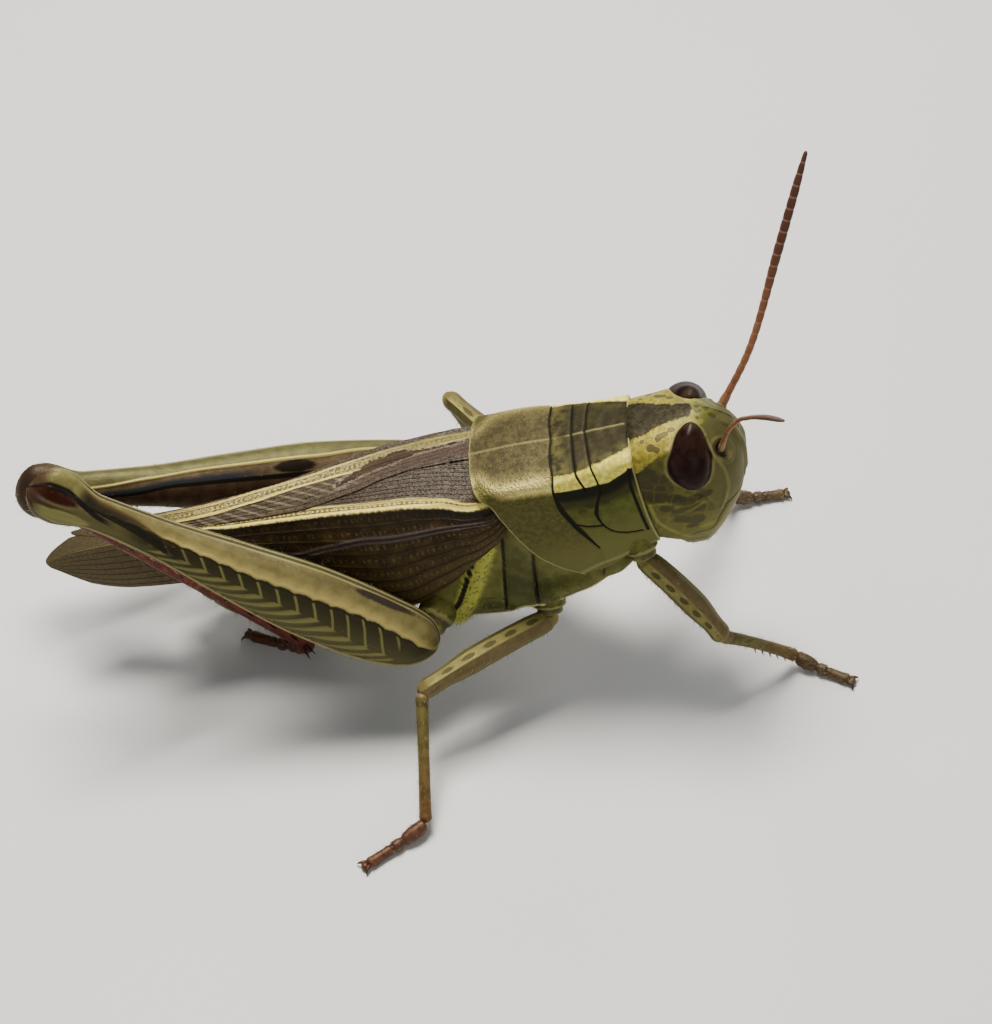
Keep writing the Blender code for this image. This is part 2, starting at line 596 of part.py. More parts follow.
# ---- assembly ----------------------------------------------------------------------------


def centre_over_floor():
    """Hangs every piece on one empty, moved so that the middle of all the pieces' plan is over
    the origin. The soles are at height 0 already."""
    solids = [piece for piece in bpy.data.objects if piece.type == "MESH" and not piece.hide_render]
    points = np.array([tuple(vert.co) for piece in solids for vert in piece.data.vertices])
    middle = (points.min(axis=0) + points.max(axis=0)) / 2
    holder = bpy.data.objects.new("grasshopper", None)
    bpy.context.collection.objects.link(holder)
    holder.location = (-middle[0], -middle[1], 0.0)
    for piece in bpy.data.objects:
        if piece is not holder:
            piece.parent = holder


def build():
    clear_scene()
    finishes = {name: make_finish(name) for name in FINISHES}

    pronotum = make_solid("pronotum", pronotum_rings(), finishes["pronotum_bronze"])
    thorax = make_solid("thorax", thorax_rings(), finishes["thorax_green"])
    tegmina = [
        make_solid("tegmen_right", tegmen_rings(-1), finishes["tegmen_brown"]),
        make_solid("tegmen_left", tegmen_rings(1), finishes["tegmen_brown"]),
    ]
    carve(thorax, pronotum, *tegmina)

    lengths = []
    for name, first, last in ABDOMEN_LENGTHS:
        lengths.append(make_solid(name, abdomen_rings(first, last), finishes["abdomen_olive"]))
    carve(lengths[0], thorax)
    for name, lift in (("ovipositor_upper", 1), ("ovipositor_lower", -1)):
        carve(make_solid(name, ovipositor_rings(lift), finishes["abdomen_olive"]), lengths[-1])

    skull_levels = CROWN - (CROWN - MOUTH_LINE) * np.array(HEAD_LEVELS)
    jaw_levels = np.linspace(MOUTH_LINE - GAP, MOUTH_END, 6)
    head = make_solid("head", head_rings(skull_levels), finishes["head_green"])
    jaws = make_solid("mouthparts", head_rings(jaw_levels), finishes["head_green"])
    for name, hand in (("eye_right", -1), ("eye_left", 1)):
        carve(head, make_solid(name, eye_rings(hand), finishes["eye_maroon"]))
    neck = make_solid("neck", neck_rings(), finishes["thorax_green"])
    carve(neck, pronotum, thorax, head, jaws)

    for name, hand in (("antenna_right", -1), ("antenna_left", 1)):
        along, side, rise = ANTENNA_BASE
        base = stand_from_trunk(along, hand * side, rise)
        antenna(name, base, ANTENNA_POINTS[name], finishes["antenna_rust"])
        cut = head.modifiers.new("socket_of_" + name, "BOOLEAN")
        cut.operation = "DIFFERENCE"
        cut.object = socket_ball(name + "_socket", base)

    coxae = [walking_leg(leg, finishes) for leg in LEGS if not leg.startswith("hind")]
    coxae += [hind_leg("hind_right", -1, finishes), hind_leg("hind_left", 1, finishes)]
    for coxa in coxae:
        carve(coxa, thorax, pronotum)
    centre_over_floor()


build()
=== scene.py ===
import bpy
import numpy as np
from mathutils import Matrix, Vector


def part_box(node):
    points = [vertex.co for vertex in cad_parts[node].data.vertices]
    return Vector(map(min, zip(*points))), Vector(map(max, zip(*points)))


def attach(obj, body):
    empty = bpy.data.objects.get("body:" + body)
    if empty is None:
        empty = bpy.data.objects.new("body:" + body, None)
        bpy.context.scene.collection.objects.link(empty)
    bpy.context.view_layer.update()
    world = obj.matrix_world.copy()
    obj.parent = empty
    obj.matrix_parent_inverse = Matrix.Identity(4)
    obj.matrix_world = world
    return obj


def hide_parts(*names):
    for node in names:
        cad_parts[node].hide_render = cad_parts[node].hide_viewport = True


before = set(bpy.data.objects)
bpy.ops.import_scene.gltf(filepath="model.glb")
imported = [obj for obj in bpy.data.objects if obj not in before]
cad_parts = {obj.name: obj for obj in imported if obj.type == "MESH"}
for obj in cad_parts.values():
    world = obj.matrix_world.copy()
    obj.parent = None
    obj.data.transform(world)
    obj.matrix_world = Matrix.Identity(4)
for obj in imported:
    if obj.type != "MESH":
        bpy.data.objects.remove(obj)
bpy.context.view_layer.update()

# Two sets of axes, in millimetres: "stand" is x forwards, y to the animal's left and z up from
# the floor; "trunk" is tipped head-up with the body and starts at the pronotum's rear tip.
mm = 0.001
pitch = np.radians(17.0)
rearTip = np.array((-1.3, 0.0, 13.6))
low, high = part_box("pronotum")
shift = np.array((low.x / mm - rearTip[0], (low.y + high.y) / 2 / mm, 0.0))


# shared shape tools

def smooth(place, stops):
    # soft curve through (place, value) stops by cubic Hermite steps; a stop's slope is the
    # harmonic mean of those beside it, or level at a peak, so it never runs past its stops
    at, value = np.array(sorted(stops), dtype=float).T
    grade = np.diff(value) / np.diff(at)
    before, after = np.append(grade[:1], grade), np.append(grade, grade[-1:])
    sameWay = before * after > 0
    slope = np.where(sameWay, 2 * before * after / np.where(sameWay, before + after, 1), 0)
    place = np.clip(place, at[0], at[-1])
    left = np.clip(np.searchsorted(at, place, side="right") - 1, 0, len(at) - 2)
    span = at[left + 1] - at[left]
    step = (place - at[left]) / span
    rise = value[left + 1] - value[left]
    return (value[left] + rise * step**2 * (3 - 2 * step)
            + span * slope[left] * step * (1 - step) ** 2
            - span * slope[left + 1] * step**2 * (1 - step))


def fromTrunk(along, side, rise):
    # to stand axes: turned by the pitch about the pronotum's rear tip
    along, side, rise = np.broadcast_arrays(along, side, rise)
    x = along * np.cos(pitch) - rise * np.sin(pitch)
    z = along * np.sin(pitch) + rise * np.cos(pitch)
    return rearTip + np.stack((x, side, z), axis=-1)


def toTrunk(points):
    # the turn back from stand axes: (along, rise)
    x, _, z = np.moveaxis(points - rearTip, -1, 0)
    return x * np.cos(pitch) + z * np.sin(pitch), z * np.cos(pitch) - x * np.sin(pitch)


def unit(vector):
    # scaled to length 1
    vector = np.asarray(vector, dtype=float)
    return vector / np.maximum(np.linalg.norm(vector, axis=-1, keepdims=True), 1e-12)


def ease(value, start, end):
    # 0 before start, 1 after end, with a smooth step between; start may be the larger
    t = np.clip((value - start) / (end - start), 0, 1)
    return t * t * (3 - 2 * t)


def bell(value, centre, width):
    # 1 at the centre, falling as e to the minus square of the distance in widths
    return np.exp(-(((value - centre) / width) ** 2))


def around(count):
    # even angles of a full turn
    return np.linspace(0, 2 * np.pi, count, endpoint=False)


def oval(angle, power):
    # the two coordinates of a superellipse: a circle for 2, and squarer above it
    return [np.sign(way) * np.abs(way) ** (2 / power) for way in (np.cos(angle), np.sin(angle))]


def grain(points, size, seed):
    # value noise from -1 to 1: hashed corners of a lattice of cells, softly blended
    q = points / size + seed * 7.31
    cell = np.floor(q)
    f = q - cell
    f = f * f * (3 - 2 * f)
    total = 0
    for corner in np.ndindex(2, 2, 2):
        spin = np.sin((cell + corner) @ np.array((127.1, 311.7, 74.7)) + seed) * 43758.5453
        weight = np.prod(np.where(np.array(corner) == 1, f, 1 - f), axis=-1)
        total = total + (2 * (spin - np.floor(spin)) - 1) * weight
    return total


def normalsOf(grid, wrap):
    # unit normals of a grid of points from the cross product of its two ways
    if wrap:
        wide = np.concatenate((grid[:, -1:], grid, grid[:, :1]), axis=1)
        across = wide[:, 2:] - wide[:, :-2]
    else:
        across = np.gradient(grid, axis=1)
    return unit(np.cross(np.gradient(grid, axis=0), across))


def pushed(grid, height, wrap, centre):
    # a grid moved by a height along its normals, which look away from the centre
    normal = normalsOf(grid, wrap)
    away = np.sign(np.sum(normal * (grid - centre), axis=-1, keepdims=True).mean())
    return grid + normal * away * np.asarray(height)[..., None]


def distanceTo(stops, *place):
    # shortest distance from every place, given as one array a coordinate, to the bent line
    # through the stops
    place = np.stack(np.broadcast_arrays(*place), axis=-1)
    stops = np.array(stops, dtype=float)
    best = np.full(place.shape[:-1], 1e9)
    for start, end in zip(stops, stops[1:]):
        run = end - start
        t = np.clip(((place - start) @ run) / (run @ run), 0, 1)
        gap = np.linalg.norm(place - start - t[..., None] * run, axis=-1)
        best = np.minimum(best, gap)
    return best


def blobs(spots, *place):
    # 1 at the middle of the nearest oval spot, 0 at its rim and less beyond; a spot is its
    # centre followed by its half sizes
    count = len(place)
    return np.maximum.reduce([
        1 - np.sqrt(sum(((place[k] - spot[k]) / spot[count + k]) ** 2 for k in range(count)))
        for spot in spots])


def curveStops(stops, count=24):
    # a bent line through a few stops made smooth: both ways follow the line's own length
    stops = np.array(stops, dtype=float)
    at = np.append(0, np.cumsum(np.linalg.norm(np.diff(stops, axis=0), axis=1)))
    share = np.linspace(0, at[-1], count)
    return np.stack([smooth(share, list(zip(at, stops[:, k]))) for k in range(stops.shape[1])],
                    axis=-1)


# shared mesh tools

def gridFaces(rows, columns, wrap):
    # four corners a face, and the last column meets the first where the grid wraps
    r = np.arange(rows - 1)[:, None] * columns
    c = np.arange(columns if wrap else columns - 1)[None]
    d = (c + 1) % columns
    return np.stack((r + c, r + d, r + columns + d, r + columns + c), axis=-1).reshape(-1, 4)


def closedLoft(rings, marks, ends="fan"):
    # rings of points joined into a closed skin; each end is closed by a fan to its middle, or
    # by strips between the ring's two halves where the ring is a thin wall
    rows, columns = rings.shape[:2]
    points = rings.reshape(-1, 3)
    marks = {key: np.broadcast_to(value, (rows, columns)).reshape(-1)
             for key, value in marks.items()}
    faces = [gridFaces(rows, columns, True)]
    k = np.arange(columns)
    if ends == "fan":
        for row, order in ((0, 1), (rows - 1, -1)):
            ring = row * columns + k
            hub = np.full(columns, len(points))
            points = np.vstack((points, points[ring].mean(axis=0)))
            marks = {key: np.append(value, value[ring].mean()) for key, value in marks.items()}
            faces.append(np.stack((hub, np.roll(ring, -1), ring)[::order], axis=-1))
    else:
        k = np.arange(columns // 2 - 1)
        strip = np.stack((k, columns - 1 - k, columns - 2 - k, k + 1), axis=-1)
        faces += [strip, strip[:, ::-1] + (rows - 1) * columns]
    return points, faces, marks


def wallLoft(outer, thickness, marks, centre):
    # a thin wall: the outer grid, and an inner one a thickness under it, joined at the edges
    inner = pushed(outer, -thickness, False, centre)
    both = {key: np.concatenate((value, value[:, ::-1]), axis=1) for key, value in
            ((key, np.broadcast_to(value, outer.shape[:2])) for key, value in marks.items())}
    return closedLoft(np.concatenate((outer, inner[:, ::-1]), axis=1), both, "strip")


def joined(parts):
    # several (points, faces, marks) as one, all with the same marks
    points, faces, start = [], [], 0
    for part in parts:
        points.append(part[0])
        faces += [face + start for face in part[1]]
        start += len(part[0])
    keys = parts[0][2].keys()
    return np.vstack(points), faces, {key: np.concatenate([part[2][key] for part in parts])
                                      for key in keys}


def outward(part):
    # one closed skin, its faces turned round if its volume comes out negative
    points, faces, marks = part
    volume = 0.0
    for face in faces:
        corner = points[face] - points.mean(axis=0)
        for k in range(1, face.shape[1] - 1):
            volume += np.sum(corner[:, 0] * np.cross(corner[:, k], corner[:, k + 1]))
    return points, faces if volume > 0 else [face[:, ::-1] for face in faces], marks


def skinOf(rings, marks):
    # a closed loft with its faces outwards
    return outward(closedLoft(rings, marks))


triangleCount = 0


def makePiece(name, nodes, part, material, patches=None):
    # part is (points, faces, marks) in stand axes; patches are the places of a coat's tufts
    # on the unwrapped skin, one (u, v) for each corner of each face
    global triangleCount
    points, faces, marks = part
    mesh = bpy.data.meshes.new(name)
    mesh.vertices.add(len(points))
    mesh.vertices.foreach_set("co", ((points + shift) * mm).astype(np.float32).ravel())
    corners = np.concatenate([face.ravel() for face in faces])
    sizes = np.concatenate([np.full(len(face), face.shape[1]) for face in faces])
    mesh.loops.add(len(corners))
    mesh.loops.foreach_set("vertex_index", corners.astype(np.int32))
    mesh.polygons.add(len(sizes))
    mesh.polygons.foreach_set("loop_start", np.append(0, np.cumsum(sizes)[:-1]).astype(np.int32))
    mesh.update(calc_edges=True)
    mesh.shade_smooth()
    for key, value in marks.items():
        layer = mesh.attributes.new(key, "FLOAT", "POINT")
        layer.data.foreach_set("value", value.astype(np.float32))
    if patches is not None:
        layer = mesh.uv_layers.new(name="OFBake")
        layer.data.foreach_set("uv", patches.astype(np.float32).ravel())
    piece = bpy.data.objects.new(name, mesh)
    bpy.context.scene.collection.objects.link(piece)
    mesh.materials.append(material)
    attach(piece, "root")
    if nodes:
        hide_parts(*nodes)
    count = int(np.sum(sizes - 2))
    triangleCount += count
    print(f"{name}: {count} triangles")


# shared material tools

class Sock:
    # a value in a material; sums on it add Math nodes
    def __init__(self, paint, socket):
        self.paint, self.socket = paint, socket

    def __add__(self, other):
        return self.paint.calc("ADD", self, other)

    def __radd__(self, other):
        return self.paint.calc("ADD", other, self)

    def __sub__(self, other):
        return self.paint.calc("SUBTRACT", self, other)

    def __rsub__(self, other):
        return self.paint.calc("SUBTRACT", other, self)

    def __mul__(self, other):
        return self.paint.calc("MULTIPLY", self, other)

    def __rmul__(self, other):
        return self.paint.calc("MULTIPLY", other, self)

    def wave(self):
        return self.paint.calc("SINE", self)

    def near(self, centre, width):
        # 1 at the centre, 0 a width away
        off = self - centre
        return (off * off).ease(width * width, 0.0)

    def ease(self, start, end):
        # 0 before start and 1 after end, smooth between
        return self.paint.out("ShaderNodeMapRange", {"interpolation_type": "SMOOTHSTEP"},
                              {0: self, 1: start, 2: end, 3: 0.0, 4: 1.0})


class Paint:
    def __init__(self, name):
        self.material = bpy.data.materials.new(name)
        self.material.use_nodes = True
        self.tree = self.material.node_tree
        self.shader = self.tree.nodes["Principled BSDF"]
        self.objectPoint = self.out("ShaderNodeTexCoord", key="Object")

    def feed(self, inputs, values):
        # a link from a Sock, or a plain value
        for key, value in values.items():
            if isinstance(value, Sock):
                self.tree.links.new(value.socket, inputs[key])
            elif isinstance(value, tuple) and inputs[key].type == "RGBA":
                inputs[key].default_value = (*value, 1.0)
            else:
                inputs[key].default_value = value

    def out(self, kind, settings=None, inputs=None, key=0):
        # a new node: its type, its settings, what feeds its sockets, and which output is read
        made = self.tree.nodes.new(kind)
        for setting, value in (settings or {}).items():
            setattr(made, setting, value)
        self.feed(made.inputs, inputs or {})
        return Sock(self, made.outputs[key])

    def calc(self, operation, first, second=0.0):
        return self.out("ShaderNodeMath", {"operation": operation}, {0: first, 1: second})

    def mark(self, name):
        return self.out("ShaderNodeAttribute", {"attribute_name": name}, key="Fac")

    def marks(self, *names):
        return [self.mark(name) for name in names]

    def noise(self, size, detail=3.0):
        # size in millimetres
        return self.out("ShaderNodeTexNoise", inputs={
            "Vector": self.objectPoint, "Scale": 1 / (size * mm), "Detail": detail,
            "Roughness": 0.55})

    def noises(self, *sizes):
        return [self.noise(size) for size in sizes]

    def cells(self, size, feature="F1", at=None, jitter=1.0):
        # size in millimetres, or in the units of the point that is given
        scale = 1 / (size * mm) if at is None else 1 / size
        return self.out("ShaderNodeTexVoronoi", {"feature": feature}, {
            "Vector": at or self.objectPoint, "Scale": scale, "Randomness": jitter}, "Distance")

    def net(self, along, across, jitter):
        # way to the nearest edge of cells stretched over a wing
        point = self.out("ShaderNodeCombineXYZ", inputs={0: along, 1: across})
        return self.cells(1.0, "DISTANCE_TO_EDGE", point, jitter)

    def mix(self, factor, first, second):
        return self.out("ShaderNodeMix", {"data_type": "RGBA"}, {0: factor, 6: first, 7: second},
                        key=2)

    def vary(self, cloud, first, second, start=0.35, end=0.65):
        # the first colour where a noise is low and the second where it is high
        return self.mix(cloud.ease(start, end), first, second)

    def layers(self, base, *coats):
        # paints (mask, colour) coats over a base colour, in order
        for mask, colour in coats:
            base = self.mix(mask, base, colour)
        return base

    def finish(self, colour, roughness, height=None, relief=0.02, metallic=0.3, coat=0.0,
               coatRoughness=0.2, specular=0.25):
        # height is bumped by relief millimetres; cuticle shines in its own colour, so it is
        # part metallic and its highlight is tinted
        self.feed(self.shader.inputs, {
            "Base Color": colour, "Roughness": roughness, "Metallic": metallic,
            "Coat Weight": coat, "Coat Roughness": coatRoughness,
            "Specular IOR Level": specular, "Specular Tint": (1.0, 0.9, 0.6)})
        if height is not None:
            bump = self.out("ShaderNodeBump", inputs={"Height": height, "Distance": relief * mm,
                                                      "Strength": 1.0})
            self.feed(self.shader.inputs, {"Normal": bump})
        return self.material


# hairs: beds are kept as the skins are made, and makeHairs plants them at the end

hairSizes = {
    "radius": 0.012, "patch": 0.0015, "stand": 0.9, "stray": 0.3, "bend": 0.16, "sunk": 0.03,
    "lengths": (0.55, 1.15), "margin": 0.03, "waist": 0.6, "seed": 11, "tiles": 4,
}
hairBeds = []


def hairBed(coat, skin, along, weight, count, length):
    # skin is a grid of points and the middle that its normals look away from; hairs grow
    # where weight is high and lean along
    grid, centre = skin
    hairBeds.append((coat, grid, centre, unit(along), weight + 0 * grid[..., 0], count, length))


def hairPaint(coat, root, tipTone):
    p = Paint("hair" + coat)
    tip, cloud = p.mark("tip"), p.noise(0.7, 2.0)
    colour = p.mix(tip.ease(0.1, 0.8), root, tipTone)
    colour = p.mix(cloud.ease(0.4, 0.65) * 0.4, colour, root)
    return p.finish(colour, 0.4 + 0.2 * cloud, metallic=0.0)


def makeHairs(coat, root, tipTone):
    # a hair is a three-sided cone with one bend: a root ring, a middle ring and a tip, on a
    # way that is the skin's normal tilted along the limb, with a little stray
    z = hairSizes
    random = np.random.default_rng(z["seed"])
    picked = []
    for tile, bed in enumerate([bed for bed in hairBeds if bed[0] == coat]):
        _, grid, centre, along, weight, count, length = bed
        normal = normalsOf(grid, True)
        normal = normal * np.sign(np.sum(normal * (grid - centre), axis=-1).mean())
        area = np.linalg.norm(np.cross(*np.gradient(grid, axis=(0, 1))), axis=-1)
        chance = (area * weight).ravel()
        row, column = np.divmod(random.choice(chance.size, count, p=chance / chance.sum()),
                                grid.shape[1])
        stray = z["stray"] * random.normal(size=(count, 3))
        way = unit(z["stand"] * normal[row, column] + along + stray)
        size = length * random.uniform(*z["lengths"], count)
        place = np.stack((row / grid.shape[0], column / grid.shape[1]), axis=-1)
        # each skin has a tile of the unwrap to itself
        place = z["margin"] + (1 - 2 * z["margin"]) * place
        place = (place + (tile % z["tiles"], tile // z["tiles"])) / z["tiles"]
        picked.append((grid[row, column], way, size[:, None], place, along + 0 * way))
    foot, way, size, place, along = (np.concatenate(list(part)) for part in zip(*picked))
    # any two ways square to the hair, from a slanting one that none has
    across = unit(np.cross(way, (0.31, 0.52, 0.79)))
    other = np.cross(way, across)
    turn = 2 * np.pi * np.arange(3) / 3
    ring = np.cos(turn)[:, None] * across[:, None] + np.sin(turn)[:, None] * other[:, None]
    radius = z["radius"]
    middle = foot + 0.5 * size * way
    tip = foot + size * (way + z["bend"] * along)
    points = np.concatenate(((foot - z["sunk"] * way)[:, None] + radius * ring,
                             middle[:, None] + z["waist"] * radius * ring, tip[:, None]), axis=1)
    # none goes into the floor
    points[..., 2] = np.maximum(points[..., 2], 0)
    start = 7 * np.arange(len(points))[:, None, None]
    faces = [(start + ((0, 1, 4, 3), (1, 2, 5, 4), (2, 0, 3, 5))).reshape(-1, 4),
             (start + ((3, 4, 6), (4, 5, 6), (5, 3, 6), (2, 1, 0))).reshape(-1, 3)]
    wide = np.concatenate((np.cos(turn), z["waist"] * np.cos(turn), (0,)))
    tall = np.array((-1, -1, -1, 0, 0, 0, 1))
    patch = (place[:, None] + z["patch"] * np.stack((wide, tall), axis=-1)).reshape(-1, 2)
    marks = {"tip": np.broadcast_to((tall + 1) / 2, points.shape[:2]).ravel()}
    corners = np.concatenate([face.ravel() for face in faces])
    makePiece("hairs" + coat, [], (points.reshape(-1, 3), faces, marks),
              hairPaint(coat, root, tipTone), patch[corners])


# pronotum, the saddle behind the head

pronotumSizes = {
    "length": 7.9, "lobeDepth": 6.45, "wall": 0.2, "rows": 120, "columns": 270,
    "rearMargin": ((0, 0), (0.8, 0.8), (1.7, 1.05), (4.2, 1.95), (5.6, 2.9), (6.45, 3.9)),
    "disc": ((0, 2.75), (0.35, 2.6), (0.7, 2.25), (1, 2.05)),
    "lobe": ((0, 3.3), (0.5, 3.15), (1, 2.75)),
    "depth": ((0, 6.45), (0.25, 6.45), (0.75, 5.75), (1, 5.65)),
    "crest": ((0, 0), (0.3, 0.06), (0.55, -0.05), (1, 0)), "frontHollow": 0.12,
    # half section: share of the way round, then share of disc width, of the way from disc to
    # lobe width, and of the depth
    "discShare": ((0, 0), (0.14, 0.5), (0.25, 0.88), (0.31, 1), (1, 1)),
    "lobeShare": ((0.25, 0), (0.31, 0.08), (0.46, 0.45), (0.68, 0.85), (0.8, 1), (0.91, 0.97),
        (1, 0.9)),
    "drop": ((0, 0), (0.14, 0.008), (0.25, 0.035), (0.31, 0.085), (0.46, 0.3), (0.68, 0.55),
        (0.8, 0.75), (0.91, 0.9), (1, 1)),
}


def pronotumFront(drop):
    # the front margin, hollowed by half a sine wave down the lobe
    z = pronotumSizes
    return z["length"] - z["frontHollow"] * np.sin(np.pi * drop / z["lobeDepth"])


def pronotumGrid():
    # rows run from the rear margin to the front one, columns from the right lobe's edge over
    # the back to the left one's: side and drop are smooth shares of the widths and the depth
    z = pronotumSizes
    s = np.linspace(0, 1, z["rows"])[:, None]
    v = np.linspace(-1, 1, z["columns"])[None]
    share = np.abs(v)
    disc, lobe = smooth(s, z["disc"]), smooth(s, z["lobe"])
    side = smooth(share, z["discShare"]) * disc + smooth(share, z["lobeShare"]) * (lobe - disc)
    drop = smooth(share, z["drop"]) * smooth(s, z["depth"])
    rear = smooth(drop, z["rearMargin"])
    front = pronotumFront(drop)
    along = rear + s * (front - rear)
    side = np.sign(v) * side
    return fromTrunk(along, side, smooth(s, z["crest"]) - drop), along, side, drop


# where the grooves run, as (along, across) in millimetres; across goes over the back and down
# the lobe
pronotumLines = {
    "principal": ((4.05, 0), (3.97, 1.2), (4.05, 2.5), (3.9, 3.6), (3.97, 4.7), (4.25, 5.8), (4.9, 7.6),
        (5.05, 8.0)),
    "second": ((5.05, 0), (5.08, 1.4), (5.15, 2.5), (5.36, 3.7)),
    "third": ((5.71, 0), (5.86, 1.8), (6.04, 3.8), (5.62, 5.1), (5.5, 5.7), (5.7, 6.6), (6.15, 7.15),
        (6.8, 7.37), (7.3, 7.4)),
    "link": ((4.5, 6.1), (5.0, 6.35), (5.55, 6.45)),
    "collar": ((7.62, 3.0), (7.47, 4.3), (7.5, 6.0), (7.55, 7.4)),
    "stripeUpper": ((0.4, 1.5), (1.5, 2.35), (4.0, 2.43), (4.8, 2.5), (6.4, 2.1), (7.9, 1.55)),
    "stripeLower": ((0.4, 2.1), (1.5, 3.3), (4.0, 3.55), (6.2, 3.6), (7.9, 2.85)),
}


def pronotumMarks(along, side, drop):
    # distances in millimetres from the stripe and the margins, and strengths from 0 to 1 of
    # the grooves; across is the way from the midline over the shoulder
    across = np.abs(side) + drop
    lines = pronotumLines
    rear = along - smooth(drop, pronotumSizes["rearMargin"])
    frontEdge = pronotumFront(drop) - along

    def gap(line):
        return distanceTo(curveStops(lines[line]), along, across)

    groove = np.maximum.reduce([
        bell(gap("principal"), 0, 0.05 + 0.1 * ease(across, 3.4, 5.0) * ease(across, 8.0, 6.4)),
        bell(gap("second"), 0, 0.055),
        bell(gap("third"), 0, 0.05 + 0.05 * bell(across, 5.4, 0.6)),
        0.8 * bell(gap("link"), 0, 0.07), bell(gap("collar"), 0, 0.08)])
    principal = np.interp(across, *np.array([(w, a) for a, w in lines["principal"]]).T)
    prozona = ease(along - principal, -0.03, 0.03)
    carina = bell(side, 0, 0.05) * (1 - 0.75 * bell(along, 4.5, 0.5)) * ease(along, 7.75, 7.6)
    return {
        "prozona": prozona, "groove": groove, "carina": carina,
        "overStripe": across - smooth(along, lines["stripeUpper"]),
        "underStripe": smooth(along, lines["stripeLower"]) - across,
        "rim": np.maximum(bell(rear, 0, 0.07), bell(frontEdge, 0, 0.08)),
        "lobeEdge": bell(drop / smooth((along - 1) / 7, pronotumSizes["depth"]), 1, 0.016),
        "lobe": drop, "along": along,
    }


def pronotumPaint():
    p = Paint("pronotumShell")
    fine, coarse, speck = p.noise(0.09), p.noise(0.5), p.noise(0.22, 2.0)
    ragged = 0.26 * (p.noise(0.16, 4.0) - 0.5) + 0.16 * (coarse - 0.5)
    over, under = p.marks("overStripe", "underStripe")
    front, drop = p.marks("prozona", "lobe")
    # between the yellow stripes the front part is dark olive, the rear part bronze
    bright = p.mix(front, (0.085, 0.068, 0.026), (0.03, 0.026, 0.01))
    dull = p.mix(front, (0.045, 0.036, 0.016), (0.018, 0.015, 0.007))
    disc = p.mix((0.5 * coarse + 0.5 * speck).ease(0.4, 0.6), dull, bright)
    # painted sheen: golden patches mixed into the front part's disc, ahead of the principal groove and
    # just above the stripe
    paintedSheen = p.mark("along").ease(5.1, 4.2) * 0.55 + over.ease(-0.9, -0.1) * 0.35
    disc = p.mix(paintedSheen * front * coarse.ease(0.35, 0.6), disc, (0.13, 0.112, 0.03))
    yellow = p.mix(speck.ease(0.35, 0.7), (0.62, 0.52, 0.07), (0.93, 0.82, 0.17))
    # the rear part's shoulder band is partly its own paler bronze colour and partly painted sheen, with a
    # painted golden highlight near the stripe's lower line
    pale = p.vary(fine, (0.17, 0.138, 0.048), (0.27, 0.222, 0.08))
    paintedGlint = p.vary(fine, (0.5, 0.42, 0.12), (0.85, 0.73, 0.28))
    pale = p.mix(under.ease(1.3, 0.2) * p.mark("along").ease(0.5, 2.6), pale, paintedGlint)
    stripe = (over + ragged).ease(-0.1, 0.1) * (under + 0.5 * ragged).ease(-0.05, 0.06) * front
    # shine masks that shoulder band: its pale colour with painted sheen, and a more metallic, smoother
    # finish
    shine = (over + ragged).ease(-0.9, 0.5) * (under + ragged).ease(-1.3, 0.6) * (1.0 - front)
    # the lobes are olive green, and black below the stripe ahead of the principal groove
    below = 0.0 - under
    green = p.mix(coarse.ease(0.35, 0.7), (0.062, 0.068, 0.012), (0.1, 0.105, 0.02))
    green = p.mix(drop.ease(2.0, 5.0), green, (0.115, 0.115, 0.03))
    blots = p.cells(0.75).ease(0.3, 0.42)
    murk = (below + 0.6 * ragged + 0.35 * (blots - 0.5)).ease(1.9, 1.2)
    black = (below + 0.8 * ragged).ease(1.05, 0.55)
    lobeFront = p.layers(green, (murk * 0.85, (0.022, 0.022, 0.007)),
                         (black, (0.003, 0.003, 0.002)))
    lobeRear = p.mix(speck.ease(0.3, 0.7), (0.06, 0.055, 0.014), (0.1, 0.09, 0.024))
    lobeRear = p.mix(drop.ease(3.0, 5.6), lobeRear, (0.115, 0.11, 0.03))
    side = (under + 0.3 * ragged).ease(0.06, -0.05)
    sideRear = (under + ragged).ease(0.3, -0.3)
    colour = p.layers(
        disc, (shine, pale), (side * front, lobeFront), (sideRear * (1.0 - front), lobeRear),
        (stripe, yellow),
        (p.mark("carina") * 0.7, (0.3, 0.25, 0.1)),
        (p.mark("groove").ease(0.2, 0.6), (0.002, 0.002, 0.001)),
        (p.mark("rim").ease(0.35, 0.8) * 0.7, (0.36, 0.33, 0.14)),
        (p.mark("lobeEdge") * 0.5, (0.3, 0.3, 0.12)))
    # the rear part is closely pitted, the front part nearly smooth
    pits = p.cells(0.13).ease(0.0, 0.55) * (1.0 - 0.85 * front)
    height = pits * 0.8 + fine * 0.35 + coarse * 0.5
    rough = 0.5 + 0.14 * fine - 0.08 * shine
    metal = 0.38 + 0.37 * shine - 0.33 * stripe
    return p.finish(colour, rough, height, relief=0.02, metallic=metal)


def makePronotum():
    grid, along, side, drop = pronotumGrid()
    centre = fromTrunk(4.0, 0.0, -3.5)
    marks = pronotumMarks(along, side, drop)
    # faint cross waves between the grooves of the front part
    waves = bell(drop, 0, 1.2) * marks["prozona"] * np.sin(9 * along + 2 * np.cos(2 * side))
    height = (-0.075 * marks["groove"] + 0.05 * marks["carina"] + 0.035 * marks["rim"]
              + 0.03 * marks["lobeEdge"] + 0.006 * waves + 0.012 * grain(grid, 0.6, 1)
              + 0.03 * bell(marks["underStripe"], 0.45, 0.35))
    part = outward(wallLoft(pushed(grid, height, False, centre), pronotumSizes["wall"], marks,
                            centre))
    makePiece("pronotumShell", ["pronotum"], part, pronotumPaint())


makePronotum()


# limbs: oval lofts along an axis

def roundEnds(t, first, last):
    # shrinks a limb's girth to a rounded end over the first and last part of its length
    near = np.clip(t / first, 0, 1) if first else np.ones_like(t)
    far = np.clip((1 - t) / last, 0, 1) if last else np.ones_like(t)
    return np.sqrt(1 - (1 - near) ** 2) * np.sqrt(1 - (1 - far) ** 2)


